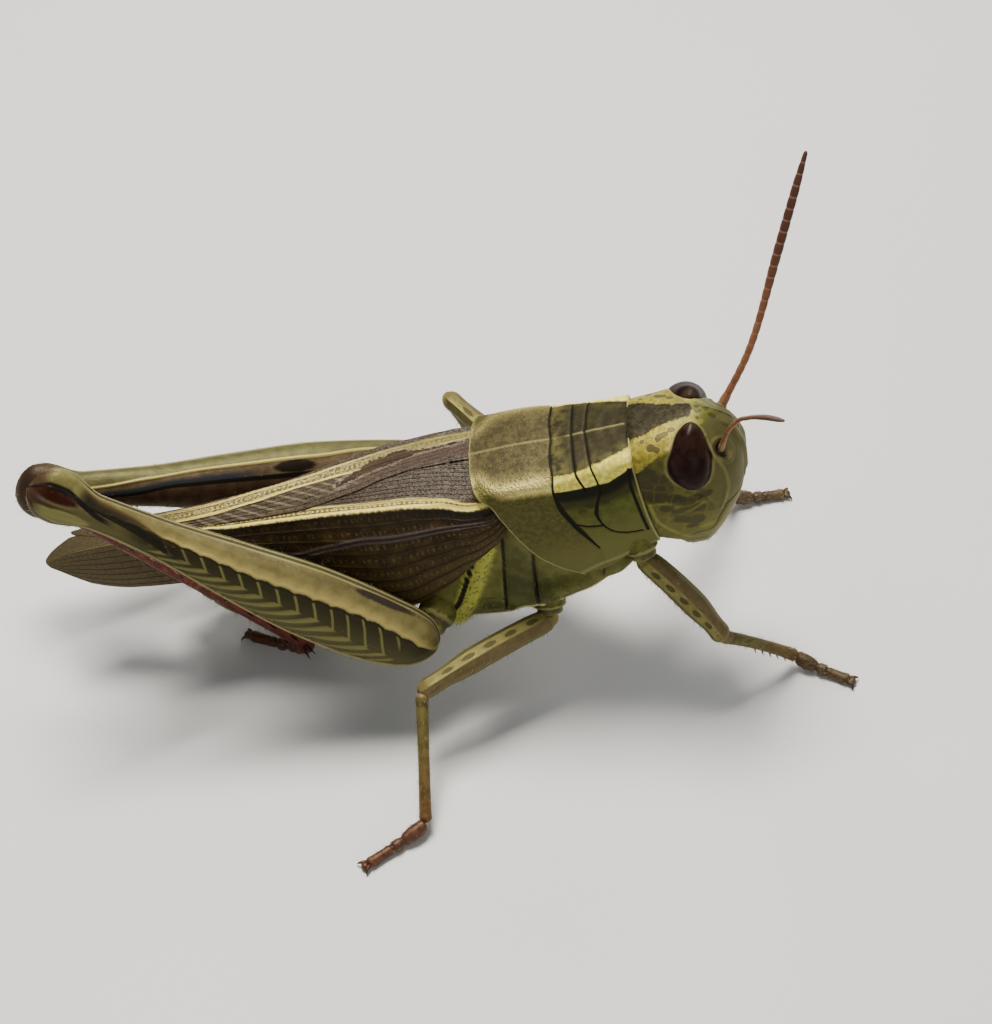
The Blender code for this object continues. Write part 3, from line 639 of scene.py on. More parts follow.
def limb(start, end, depth, width, up=(0, 0, 1), bow=0.0, belly=None, ends=(0.1, 0.1), rows=80,
         sides=48, power=2.0, least=0.02):
    # rings of a superellipse square to the axis: depth, belly and width are half sizes above,
    # below and beside it by share of its length, and bow lifts its middle
    start, end = np.array(start, dtype=float), np.array(end, dtype=float)
    along = unit(end - start)
    side = unit(np.cross(up, along))
    top = np.cross(along, side)
    t = np.linspace(0, 1, rows)
    first, last = ends
    # rows are drawn together towards rounded ends
    t = t + 0.5 * (ease(t, 0, 1) - t) if first or last else t
    angle = around(sides)
    girth = np.maximum(roundEnds(t, first, last), least)
    above, beside = smooth(t, depth) * girth, smooth(t, width) * girth
    below = smooth(t, belly or depth) * girth
    centre = start + t[:, None] * (end - start) + (bow * 4 * t * (1 - t))[:, None] * top
    rise, out = oval(angle, power)
    height = np.where(rise > 0, above[:, None], below[:, None]) * rise
    breadth = beside[:, None] * out
    grid = centre[:, None] + height[..., None] * top + breadth[..., None] * side
    return {"grid": grid, "centre": centre[:, None], "t": t[:, None], "angle": angle[None],
            "up": rise[None], "out": out[None], "top": top, "side": side, "along": along,
            "length": np.linalg.norm(end - start)}


def limbMarks(part, **more):
    # shares of the way along and up, and any more
    return {"t": part["t"], "up": part["up"], **more}


def tube(path, radius, sides):
    # a round tube of the given radius at each point of a path, on frames square to it
    path = np.asarray(path, dtype=float)
    along = unit(np.gradient(path, axis=0))
    up = np.array((0.0, 0.3, 1.0)) if abs(along[:, 2]).mean() < 0.9 else np.array((1.0, 0, 0))
    side = unit(np.cross(up, along))
    top = np.cross(along, side)
    angle = around(sides)[None, :, None]
    ring = np.cos(angle) * top[:, None] + np.sin(angle) * side[:, None]
    return path[:, None] + np.asarray(radius)[..., None, None] * ring


# eyes

eyeSizes = {
    "top": (10.95, 0.85, 0.1), "bottom": (10.3, 2.65, -2.62), "outward": (0.0, 0.8, 0.6),
    "bulge": ((0, 0.3), (0.25, 0.66), (0.5, 0.94), (1, 0.97)),
    "breadth": ((0, 0.3), (0.25, 0.72), (0.55, 1.07), (1, 1.12)), "ends": (0.2, 0.5), "backwards": 0.22,
}


def eyeLimb(hand):
    # an oval loft from its top to its bottom, flat on the head and domed outwards
    z, mirror = eyeSizes, np.array((1, hand, 1))
    top, bottom = fromTrunk(*(z["top"] * mirror)), fromTrunk(*(z["bottom"] * mirror))
    facing = fromTrunk(*(z["outward"] * mirror)) - rearTip
    eye = limb(top, bottom, z["bulge"], z["breadth"], up=facing, ends=z["ends"], rows=70,
               sides=64)
    # bent: the front edge is straight and the rear one full
    bend = z["backwards"] * np.sin(np.pi * eye["t"])[..., None] * np.array((1, 0, 0))
    return {**eye, "grid": eye["grid"] - bend}


def eyeGap(points):
    # millimetres, roughly, from points on the left half of the head to the left eye's surface
    z = eyeSizes
    eye = eyeLimb(1)
    start = fromTrunk(*z["top"])
    offset = points - start
    t = np.clip(offset @ eye["along"] / eye["length"], 0, 1)
    offset = offset + z["backwards"] * np.sin(np.pi * t)[..., None] * np.array((1, 0, 0))
    girth = np.maximum(roundEnds(t, *z["ends"]), 0.05)
    high, wide = smooth(t, z["bulge"]) * girth, smooth(t, z["breadth"]) * girth
    beyond = np.abs(offset @ eye["along"] - t * eye["length"])
    radius = np.hypot(offset @ eye["top"] / high, offset @ eye["side"] / wide)
    return np.hypot((radius - 1) * np.minimum(high, wide), beyond) * np.sign(radius - 1)


def eyePaint():
    p = Paint("eyeMaroon")
    cloud, streak = p.noise(0.6, 2.0), p.noise(0.25, 2.0)
    up, t = p.marks("up", "t")
    base = p.layers(
        p.mix(cloud.ease(0.4, 0.65), (0.011, 0.0035, 0.003), (0.02, 0.008, 0.006)),
        (up.ease(0.6, 0.1) * 0.6, (0.035, 0.016, 0.013)), (t.ease(0.12, 0.02) * 0.6, (0.05, 0.035, 0.02)),
        (t.ease(0.88, 1.0) * 0.5, (0.06, 0.03, 0.02)))
    # the facets are far smaller than a hair's width, so they only break up the shine
    facets = p.cells(0.035, jitter=0.35)
    rough = 0.3 + 0.12 * streak
    # little base shine, so that its rim stays dark, and a thin coat for the highlight
    return p.finish(base, rough, facets, relief=0.004, metallic=0.0, coat=0.13,
                    coatRoughness=0.27, specular=0.03)


def makeEyes():
    material = eyePaint()
    for hand, name in ((-1, "Right"), (1, "Left")):
        eye = eyeLimb(hand)
        part = skinOf(eye["grid"], limbMarks(eye))
        makePiece("eye" + name, ["eye_" + name.lower()], part, material)


makeEyes()


# head

headSizes = {
    "crown": 0.16, "mouthLine": -6.6, "mouthEnd": -8.4, "napePower": 5.0,
    "rows": (210, 60), "columns": (240, 120), "crowding": 1.6, "middle": (10.3, 0.0, -3.5),
    # by level: where the head's front and back lie, its half width, and how square its face is
    "front": ((0.16, 10.2), (0.1, 11.3), (-0.3, 12.1), (-1.2, 12.7), (-2.4, 12.85), (-3.9, 12.65),
        (-5.0, 12.25), (-6.6, 11.15), (-8.4, 9.9)),
    "back": ((0.16, 10.2), (0.1, 8.1), (-0.05, 7.7), (-0.3, 7.3), (-1, 7.0), (-5.2, 7.0), (-6.2, 7.9),
        (-6.6, 8.3), (-8.4, 8.9)),
    "half": ((0.16, 0), (0.1, 0.9), (-0.15, 1.6), (-0.6, 2.1), (-1.2, 2.3), (-2.5, 2.5), (-4.0, 2.75),
        (-5.4, 2.7), (-6.6, 2.25), (-7.6, 1.65), (-8.4, 0.85)),
    "facePowers": ((0.16, 1.1), (-0.3, 1.15), (-1.5, 1.5), (-3.0, 2.1), (-5.0, 2.3)),
}

# where its markings run, in trunk millimetres; each cheek mirrors the other
headLines = {
    "band": ((7.9, 1.15), (8.3, 1.1), (9.0, 0.87), (9.8, 0.6), (10.4, 0.47), (10.85, 0.4),
        (11.05, 0.05), (13, 0)),
    "stripeEdge": ((7.9, -1.15), (8.17, -1.03), (8.86, -0.61), (9.44, -0.4), (10.5, -0.3)),
    # (along, across, rise)
    "carina": ((11.3, 1.3, -0.8), (11.4, 1.56, -1.2), (11.65, 1.74, -1.9), (11.85, 1.85, -2.5),
        (11.8, 2.05, -3.3), (11.55, 2.27, -3.85), (11.2, 2.45, -4.5)),
    "brow": ((9.5, 2.05, -0.5), (10.2, 1.35, -0.07), (10.7, 1.0, -0.07), (11.15, 0.77, -0.15),
        (11.4, 1.0, -0.4)),
    "costa": ((11.9, 0.42, -0.25), (12.4, 0.45, -0.8), (12.7, 0.5, -1.8), (12.73, 0.52, -3.3),
        (12.5, 0.9, -4.2)),
    "eyeToJaw": ((10.5, 2.6, -2.95), (10.75, 2.6, -3.6), (11.0, 2.65, -4.6)),
    # (across, rise), then (along, rise)
    "faceSeam": ((0, -4.45), (1.3, -4.5), (2.35, -4.45)),
    "lipSeam": ((0, -5.75), (1.5, -5.8), (2.2, -5.6)),
    "cheekSeam": ((11.4, -4.6), (10.95, -5.15), (10.65, -5.6), (10.3, -5.82), (9.9, -5.7), (9.3, -6.1)),
    "cheekLine": ((8.0, -3.2), (8.5, -3.2), (9.05, -3.35), (9.5, -4.0), (10.6, -3.6)),
    "cheekRim": ((8.02, -3.2), (8.1, -4.2), (8.45, -4.95), (8.85, -5.45), (9.2, -6.1)),
}
headSpots = {
    # (along, across, rise) and half sizes
    "ringed": ((9.36, 1.35, -0.03, 0.24, 0.24, 0.3), (8.87, 1.68, -0.21, 0.22, 0.2, 0.3),
        (9.17, 1.83, -0.29, 0.16, 0.16, 0.3), (9.96, 1.01, 0.07, 0.22, 0.16, 0.3),
        (9.7, 1.2, 0.03, 0.12, 0.14, 0.3), (8.5, 1.35, -0.1, 0.14, 0.12, 0.3)),
    "ahead": ((11.27, 0.15, 0.0, 0.22, 0.14, 0.5), (11.62, 0.0, 0.0, 0.2, 0.16, 0.5),
        (11.88, 0.3, -0.2, 0.2, 0.12, 0.5), (11.2, 0.5, 0.0, 0.1, 0.08, 0.5)),
    "socket": ((12.12, 1.42, -1.6, 0.55, 0.42, 0.62),),
    "ocellus": ((11.47, 1.25, -0.68, 0.17, 0.17, 0.17), (12.75, 0.0, -1.75, 0.2, 0.13, 0.17)),
    "patch": ((11.2, 0.72, -0.2, 0.4, 0.3, 0.4), (10.95, 0.6, 0.0, 0.4, 0.22, 0.4)),
    # (along, rise) and half sizes on the cheek
    "dark": ((8.82, -3.5, 0.44, 0.26), (9.6, -2.96, 0.3, 0.24), (9.95, -3.35, 0.3, 0.22),
        (10.16, -3.83, 0.5, 0.28), (10.75, -3.18, 0.4, 0.2), (9.96, -4.63, 0.46, 0.36),
        (9.25, -4.4, 0.42, 0.32), (9.6, -5.05, 0.34, 0.2), (9.25, -3.8, 0.34, 0.2)),
    "behind": ((8.3, -1.7, 0.8, 1.0), (8.45, -2.6, 0.7, 0.75), (9.1, -2.1, 0.4, 0.8),
        (9.3, -3.0, 0.5, 0.35), (10.2, -3.2, 0.5, 0.25)),
    "yellow": ((10.3, -5.3, 0.5, 0.2),),
}


def headGrid(levels, sides):
    # level rings: a superellipse, square at the nape and narrower at the face; its front, back
    # and half width follow the root of the depth below the crown, so that the crown is round
    z = headSizes
    angle = around(sides)[None]
    deep = np.sqrt(np.maximum(z["crown"] - levels, 0))[:, None]
    front, back, half = (smooth(deep, [(np.sqrt(z["crown"] - at), value) for at, value in z[key]])
                         for key in ("front", "back", "half"))
    face = smooth(levels, z["facePowers"])[:, None]
    reach, girth = oval(angle, np.where(np.cos(angle) > 0, face, z["napePower"]))
    along = (front + back) / 2 + (front - back) / 2 * reach
    side, rise = np.broadcast_arrays(half * girth, levels[:, None])
    return along, side, rise


def headMarks(along, side, rise):
    # distances in millimetres from edges, strengths of lines from 0 to 1, and spots
    across = np.abs(side)

    def line(name, width, *place):
        return bell(distanceTo(curveStops(headLines[name]), *place), 0, width)

    spots = {name: blobs(headSpots[name], along, across, rise)
             for name in ("ringed", "ahead", "socket", "ocellus", "patch")}
    beside = across > 1.2
    cheek = {name: np.where(beside, blobs(headSpots[name], along, rise), -1)
             for name in ("dark", "behind", "yellow")}
    face = ease(along, 11.0, 11.6)
    return {
        "band": smooth(along, headLines["band"]) - across + 10 * np.minimum(rise + 1.2, 0),
        "stripeEdge": rise - smooth(along, headLines["stripeEdge"]),
        "carina": np.maximum(line("carina", 0.1, along, across, rise),
                             0.7 * line("costa", 0.09, along, across, rise)),
        "brow": line("brow", 0.07, along, across, rise),
        "seam": np.maximum.reduce([
            line("faceSeam", 0.05, across, rise) * face, line("lipSeam", 0.05, across, rise) * face,
            line("cheekSeam", 0.05, along, rise) * beside,
            0.8 * line("eyeToJaw", 0.05, along, across, rise)]),
        "cheekLine": line("cheekLine", 0.09, along, rise) * beside,
        "cheekRim": line("cheekRim", 0.13, along, rise) * beside,
        "eyeGap": eyeGap(fromTrunk(along, across, rise)), "along": along, "rise": rise,
        "across": across, **spots, **cheek,
    }


def headHeight(marks, grid):
    # millimetres outwards: raised carinae, brow and eye rim, sunk seams and feeler sockets
    rimmed = bell(marks["eyeGap"], 0.12, 0.09)
    costa = ease(marks["across"], 0.55, 0.4) * ease(marks["rise"], -0.4, -1.0)
    costa = costa * ease(marks["rise"], -4.6, -4.1) * ease(marks["along"], 11.5, 12.2)
    trough = bell(marks["across"], 0, 0.22) * costa
    return (0.09 * marks["carina"] + 0.03 * marks["brow"] + 0.05 * rimmed - 0.07 * marks["seam"]
            + 0.11 * costa - 0.1 * trough - 0.16 * ease(marks["socket"], -0.1, 0.5)
            + 0.07 * bell(marks["socket"], -0.2, 0.16) + 0.05 * ease(marks["ocellus"], 0, 0.7)
            + 0.02 * marks["cheekRim"] + 0.02 * grain(grid, 0.8, 2) + 0.008 * grain(grid, 0.25, 3))


def headPaint():
    p = Paint("headShell")
    fine, coarse, speck = p.noises(0.08, 0.5, 0.2)
    ragged = 0.22 * (p.noise(0.14, 4.0) - 0.5) + 0.2 * (coarse - 0.5)
    mark = p.mark
    green = p.layers(
        p.mix(coarse.ease(0.35, 0.68), (0.066, 0.062, 0.014), (0.105, 0.1, 0.022)),
        (mark("along").ease(10.4, 11.6), (0.095, 0.088, 0.03)),
        (mark("rise").ease(-4.2, -5.4), (0.12, 0.112, 0.028)))
    # a network of paler lines splits the cheek
    web = p.cells(0.62, "DISTANCE_TO_EDGE").ease(0.12, 0.02)
    web = web * mark("rise").ease(-1.2, -2.2) * mark("along").ease(11.3, 10.7)
    green = p.mix(web * 0.3, green, (0.17, 0.16, 0.03))
    dark = (mark("dark") + 1.2 * ragged).ease(-0.08, 0.22)
    behind = (mark("behind") + 1.6 * ragged).ease(0.0, 0.35)
    stripeEdge = (mark("stripeEdge") + ragged).ease(-0.07, 0.05)
    yellow = p.mix(speck.ease(0.3, 0.7), (0.2, 0.16, 0.02), (0.37, 0.31, 0.045))
    yellow = p.mix(mark("along").ease(9.4, 10.9), yellow, (0.19, 0.17, 0.04))
    top = p.mix(mark("along").ease(10.9, 11.7), yellow, (0.12, 0.12, 0.024))
    band = (mark("band") + 1.2 * ragged).ease(-0.06, 0.06)
    bandTone = p.mix(speck.ease(0.4, 0.62), (0.013, 0.01, 0.007), (0.03, 0.026, 0.011))
    ring = mark("ringed") + 0.6 * ragged
    colour = p.layers(
        green, (dark * 0.8, (0.04, 0.036, 0.012)),
        (behind * 0.85 * (1.0 - 0.3 * web), (0.026, 0.022, 0.008)),
        ((mark("yellow") + ragged).ease(0.0, 0.4) * 0.8, (0.2, 0.185, 0.03)),
        (mark("cheekLine").ease(0.3, 0.8) * 0.5, (0.19, 0.175, 0.035)),
        (mark("cheekRim").ease(0.3, 0.9) * 0.6, (0.24, 0.23, 0.05)),
        (stripeEdge, top),
        ((mark("patch") + ragged).ease(0.0, 0.4) * stripeEdge * 0.7, (0.28, 0.25, 0.05)),
        (ring.ease(-0.25, 0.0) * stripeEdge * 0.5, (0.42, 0.36, 0.09)),
        (ring.ease(-0.02, 0.15) * stripeEdge * 0.9, (0.085, 0.066, 0.022)),
        ((mark("ahead") + ragged).ease(-0.1, 0.3) * 0.8, (0.045, 0.047, 0.013)),
        (band, bandTone),
        (mark("brow").ease(0.3, 0.8) * 0.8, (0.45, 0.38, 0.12)),
        # the carinae are painted pale: partly their own colour, partly a painted highlight along the
        # ridge
        (mark("carina").ease(0.3, 0.9) * 0.55, (0.2, 0.2, 0.055)),
        (mark("socket").ease(-0.3, 0.1) * 0.6, (0.14, 0.12, 0.05)),
        (mark("socket").ease(0.05, 0.35) * mark("along").ease(12.35, 12.0), (0.03, 0.019, 0.01)),
        (mark("ocellus").ease(0.0, 0.4), (0.06, 0.025, 0.012)),
        (mark("eyeGap").ease(0.24, 0.12) * 0.45, (0.27, 0.23, 0.09)),
        (mark("eyeGap").ease(0.1, 0.03), (0.02, 0.012, 0.006)),
        (mark("seam").ease(0.3, 0.8) * 0.85, (0.03, 0.022, 0.008)))
    pits = p.cells(0.16).ease(0.0, 0.5)
    height = 0.5 * pits + 0.4 * fine + 0.5 * coarse
    rough = 0.42 + 0.16 * fine - 0.25 * mark("ocellus").ease(0.0, 0.3)
    return p.finish(colour, rough, height, relief=0.012, metallic=0.25)


def headPart(levels, sides):
    # head rings at these levels, moved along their normals by the relief
    along, side, rise = headGrid(levels, sides)
    grid = fromTrunk(along, side, rise)
    marks = headMarks(along, side, rise)
    return pushed(grid, headHeight(marks, grid), True, fromTrunk(*headSizes["middle"])), marks


palpSizes = {
    # root, then each joint in trunk millimetres, and the radius
    "outer": ((8.9, 0.9, -7.0), (8.6, 1.0, -7.7), (8.7, 0.9, -8.2), (9.1, 0.7, -8.5)),
    "inner": ((9.1, 0.3, -7.8), (8.9, 0.4, -8.3), (9.2, 0.35, -8.6)), "radius": 0.13,
}


def makeHead():
    z = headSizes
    down = np.linspace(0.001, 1, z["rows"][0]) ** z["crowding"]
    levels = z["crown"] - (z["crown"] - z["mouthLine"]) * down
    grid, marks = headPart(levels, z["columns"][0])
    material = headPaint()
    makePiece("headCapsule", ["head"], skinOf(grid, marks), material)
    levels = np.linspace(z["mouthLine"] - 0.02, z["mouthEnd"], z["rows"][1])
    grid, marks = headPart(levels, z["columns"][1])
    parts = [skinOf(grid, marks)]
    hairBed("Body", (grid, fromTrunk(10.3, 0.0, -7.5)), (0.3, 0, -1), 1.0, 160, 0.22)
    # four jointed palps hang beside the mouth, in the plain colour of the cheek
    palpMarks = {**dict.fromkeys(marks, 0), **dict.fromkeys((*headSpots, "band", "stripeEdge"), -1),
                 "along": 10.6, "rise": -6, "eyeGap": 3, "across": 1.5}
    for hand in (-1, 1):
        for name in ("outer", "inner"):
            stops = [fromTrunk(a, hand * b, c) for a, b, c in palpSizes[name]]
            path = curveStops(stops, 70)
            t = np.linspace(0, 1, 70)
            bead = np.abs(np.sin(np.pi * t * (len(stops) - 0.5))) ** 0.4
            radius = palpSizes["radius"] * (0.72 + 0.28 * bead) * roundEnds(t, 0, 0.12)
            rings = tube(path, np.maximum(radius, 0.01), 18)
            parts.append(skinOf(rings, palpMarks))
    makePiece("jaws", ["mouthparts"], joined(parts), material)


makeHead()


# feelers

feelerSizes = {
    "base": (11.85, 1.2, -1.85), "segments": 24, "radius": {"left": 0.18, "right": 0.11},
    "right": ((10.85, -1.4, 16.9), (11.23, -1.75, 18.0), (11.55, -2.6, 19.15), (12.02, -5.0, 21.9),
        (12.5, -8.4, 25.5)),
    "joints": (0.035, 0.075), "left": ((11.98, 2.4, 18.6), (13.1, 4.6, 22.6), (14.3, 7.1, 26.8)),
    "taper": ((0, 1.0), (0.35, 1.0), (0.65, 1.25), (0.85, 1.15), (1, 0.55)),
}


def feelerPaint():
    p = Paint("feelerRust")
    fine, streak = p.noise(0.06), p.noise(0.3, 2.0)
    t, bead = p.marks("t", "bead")
    rust = p.layers(
        p.mix(t.ease(0.2, 0.75), (0.25, 0.1, 0.042), (0.07, 0.024, 0.017)),
        (streak.ease(0.35, 0.65) * 0.5,
         p.mix(t.ease(0.2, 0.7), (0.15, 0.06, 0.028), (0.05, 0.02, 0.014))),
        (t.ease(0.08, 0.04), (0.26, 0.17, 0.08)),
        (bead.ease(0.75, 0.45) * t.ease(0.05, 0.1) * 0.6, (0.29, 0.14, 0.08)))
    return p.finish(rust, 0.42 + 0.15 * fine, fine, relief=0.01, metallic=0.1, specular=0.35)


def makeFeelers():
    z = feelerSizes
    for hand, name in ((-1, "right"), (1, "left")):
        along, side, rise = z["base"]
        base = fromTrunk(along, hand * side, rise)
        path = curveStops((base, *z[name]), 420)
        t = np.linspace(0, 1, 420)
        bead = np.abs(np.sin(np.pi * z["segments"] * t)) ** 0.3
        # the first two joints are stout, and the tip is rounded
        first, second = z["joints"]
        stout = 0.6 * bell(t, first / 2, 0.6 * first) + 0.25 * bell(t, (first + second) / 2, 0.025)
        radius = z["radius"][name] * (smooth(t, z["taper"]) + stout) * (0.84 + 0.16 * bead)
        radius = radius * np.maximum(roundEnds(t, 0.004, 0.012), 0.1)
        rings = tube(path, radius, 20)
        part = skinOf(rings, {"t": t[:, None], "bead": bead[:, None]})
        makePiece("feeler" + name.capitalize(), ["antenna_" + name], part,
                  feelerPaint())


makeFeelers()


# tegmina, the folded fore wings

wingSizes = {
    "parting": {-1: ((1.2, 0.05), (-22.1, 0.05)),
        1: ((1.2, 0.05), (-2, 0.0), (-4, -0.3), (-6, -0.9), (-9, -1.35), (-13.7, -1.15),
            (-18, -0.6), (-22.1, -0.2))},
    # how far the left wing's outer part leans over to the right, by along
    "skew": ((1.2, 0), (-4, 0), (-6, -0.15), (-8.6, -0.6), (-11.1, -1.0), (-13.7, -1.2), (-18, -0.9),
        (-22.1, -0.4)),
    "wall": 0.12, "overlap": 0.045, "shorter": 1.5, "fold": 0.42, "shoulderDrop": 0.22, "curl": 1.75,
    "crowding": 0.95, "lap": 0.07, "hidden": 0.5, "tuck": (-0.7, 0.2), "tuckIn": 0.55,
    "tuckDown": 0.12, "rows": 340, "columns": 190,
    # the rounded tip, by the way across: 0 at the inner edge, 1 at the shoulder, 2 at the
    # lower edge
    "end": ((0, -20.7), (0.5, -21.8), (0.9, -22.1), (1.4, -21.9), (1.8, -21.1), (2, -20.2)),
    "top": ((1.2, -0.42), (-1, -0.3), (-8.6, 0), (-13.7, 0.1), (-18, 0.1), (-20.4, -0.1),
        (-22.1, -0.6)),
    "shoulder": ((1.2, 2.35), (-1, 2.3), (-8.6, 1.65), (-13.7, 1.35), (-19, 1.1), (-22.1, 0.8)),
    "side": ((1.2, 3.2), (-1, 3.45), (-4.5, 3.5), (-9, 2.75), (-15, 1.95), (-19, 1.65), (-22.1, 1.1)),
    "edge": ((1.5, -2.4), (-1, -4.0), (-2.7, -5.2), (-4.6, -6.0), (-7, -5.6), (-11, -4.2), (-15, -3.1),
        (-18.2, -2.8), (-20.4, -2.1), (-22.1, -1.1)),
}
# markings by along: across on the right wing, millimetres from the midline on the left one
wingLines = {
    -1: {"upper": ((1.5, 1.08), (-0.14, 1.05), (-1.56, 0.86), (-3.5, 0.77), (-5.1, 0.78),
                   (-9.2, 0.69), (-12, 0.69), (-13.5, 0.76), (-22, 0.8)),
         "lower": ((1.5, 1.24), (0.46, 1.21), (-0.26, 1.19), (-1.65, 1.07), (-3.56, 1.02),
                   (-12.1, 1.03), (-13.5, 0.98), (-22, 0.98))},
    1: {"upper": ((1.5, 1.98), (0, 1.95), (-2, 1.9), (-4, 1.7), (-6.1, 1.35), (-8.6, 0.87),
                  (-11.1, 0.35), (-13.7, 0.05), (-22, 0.05)),
        "lower": ((1.5, 1.5), (0, 1.4), (-4, 1.0), (-6, 0.4), (-8.6, 0.0), (-11.1, -0.45),
                  (-13.5, -0.7), (-22, -0.7))},
    "ridge": ((0.83, 1.47), (-0.88, 1.34), (-2.4, 1.28), (-5.5, 1.26), (-7.6, 1.33),
              (-9.7, 1.44), (-14, 1.5), (-22, 1.5)),
    "worn": ((-6.6, -0.3), (-6.1, 0.1), (-5.1, 0.7), (-3.7, 1.05), (-1.8, 1.2), (-0.5, 1.3)),
}


def wingGrid(hand):
    # rows run back from under the pronotum, columns from the inner edge across the flat field
    # to the shoulder and down the side field: side and rise are shares of widths and heights
    z = wingSizes
    s = np.linspace(0, 1, z["rows"])[:, None] ** z["crowding"]
    q = np.linspace(0, 1, z["columns"])[None]
    flat = np.clip(q / z["fold"], 0, 1)
    hang = np.clip((q - z["fold"]) / (1 - z["fold"]), 0, 1)

    def section(along):
        crown, edge = smooth(along, z["top"]), smooth(along, z["edge"])
        shoulder, flank = smooth(along, z["shoulder"]), smooth(along, z["side"])
        parting = smooth(along, z["parting"][hand])
        right = shoulder
        skew = smooth(along, z["skew"]) if hand > 0 else 0.0
        shoulder, flank = shoulder + skew, flank + skew
        side = parting + (shoulder - parting) * flat
        side = side + (flank - shoulder) * np.sin(hang * z["curl"])
        # the left wing's inner edge lies on the right wing
        over = ease(side, 0.9, 0.1) if hand > 0 else 0.0
        rise = crown - z["shoulderDrop"] * (flat**2 + over * ((side / right) ** 2 - flat**2))
        rise = rise + (edge - crown + z["shoulderDrop"]) * hang**1.1
        return side, rise + z["overlap"] * over

    root = np.zeros_like(q)
    for _ in range(4):
        # the wing comes out where its top meets the pronotum's rear margin
        side, rise = section(root)
        root = smooth(-rise, pronotumSizes["rearMargin"]) - z["lap"]
    hidden = root + z["hidden"]
    across = flat + hang
    end = smooth(across, z["end"]) + (z["shorter"] if hand > 0 else 0)
    along = hidden + s * (end - hidden)
    side, rise = section(along)
    # the hidden root is tucked in under the pronotum
    tuck = ease(along - root, *z["tuck"])
    place = side - z["tuckIn"] * tuck * hang
    grid = fromTrunk(along, hand * place, rise - z["tuckDown"] * tuck)
    return grid, along, across + 0 * s, side


def wingMarks(hand, along, across, side):
    # ways across from the stripe and the strong vein, and the veins: long ones follow the
    # stripe on the shoulder and draw together at the tip
    lines = wingLines[hand]
    way = across if hand < 0 else side
    over, under = way - smooth(along, lines["upper"]), smooth(along, lines["lower"]) - way
    if hand > 0:
        over, under = -over, -under
    drape = ease(along, -13.0, -19.0)
    vein = across - smooth(along, wingLines[-1]["lower"])
    # spacing is narrower on the flat field
    count = np.where(vein < 0, 9.0, 7.5)
    wave = 0.5 + 0.5 * np.cos(2 * np.pi * count * vein)
    ridge = across - smooth(along, wingLines["ridge"])
    double = np.maximum(bell(ridge, 0, 0.012), bell(ridge, 0.045, 0.009))
    worn = distanceTo(wingLines["worn"], along, side)
    worn = worn - 0.3 * ease(along, -2.0, -4.0) * ease(along, -6.6, -5.0) + (0 if hand > 0 else 9)
    return {"over": over, "under": under, "vein": vein, "wave": wave, "along": along,
            "across": across, "double": double * ease(along, -12, -8), "tip": drape,
            "worn": worn}


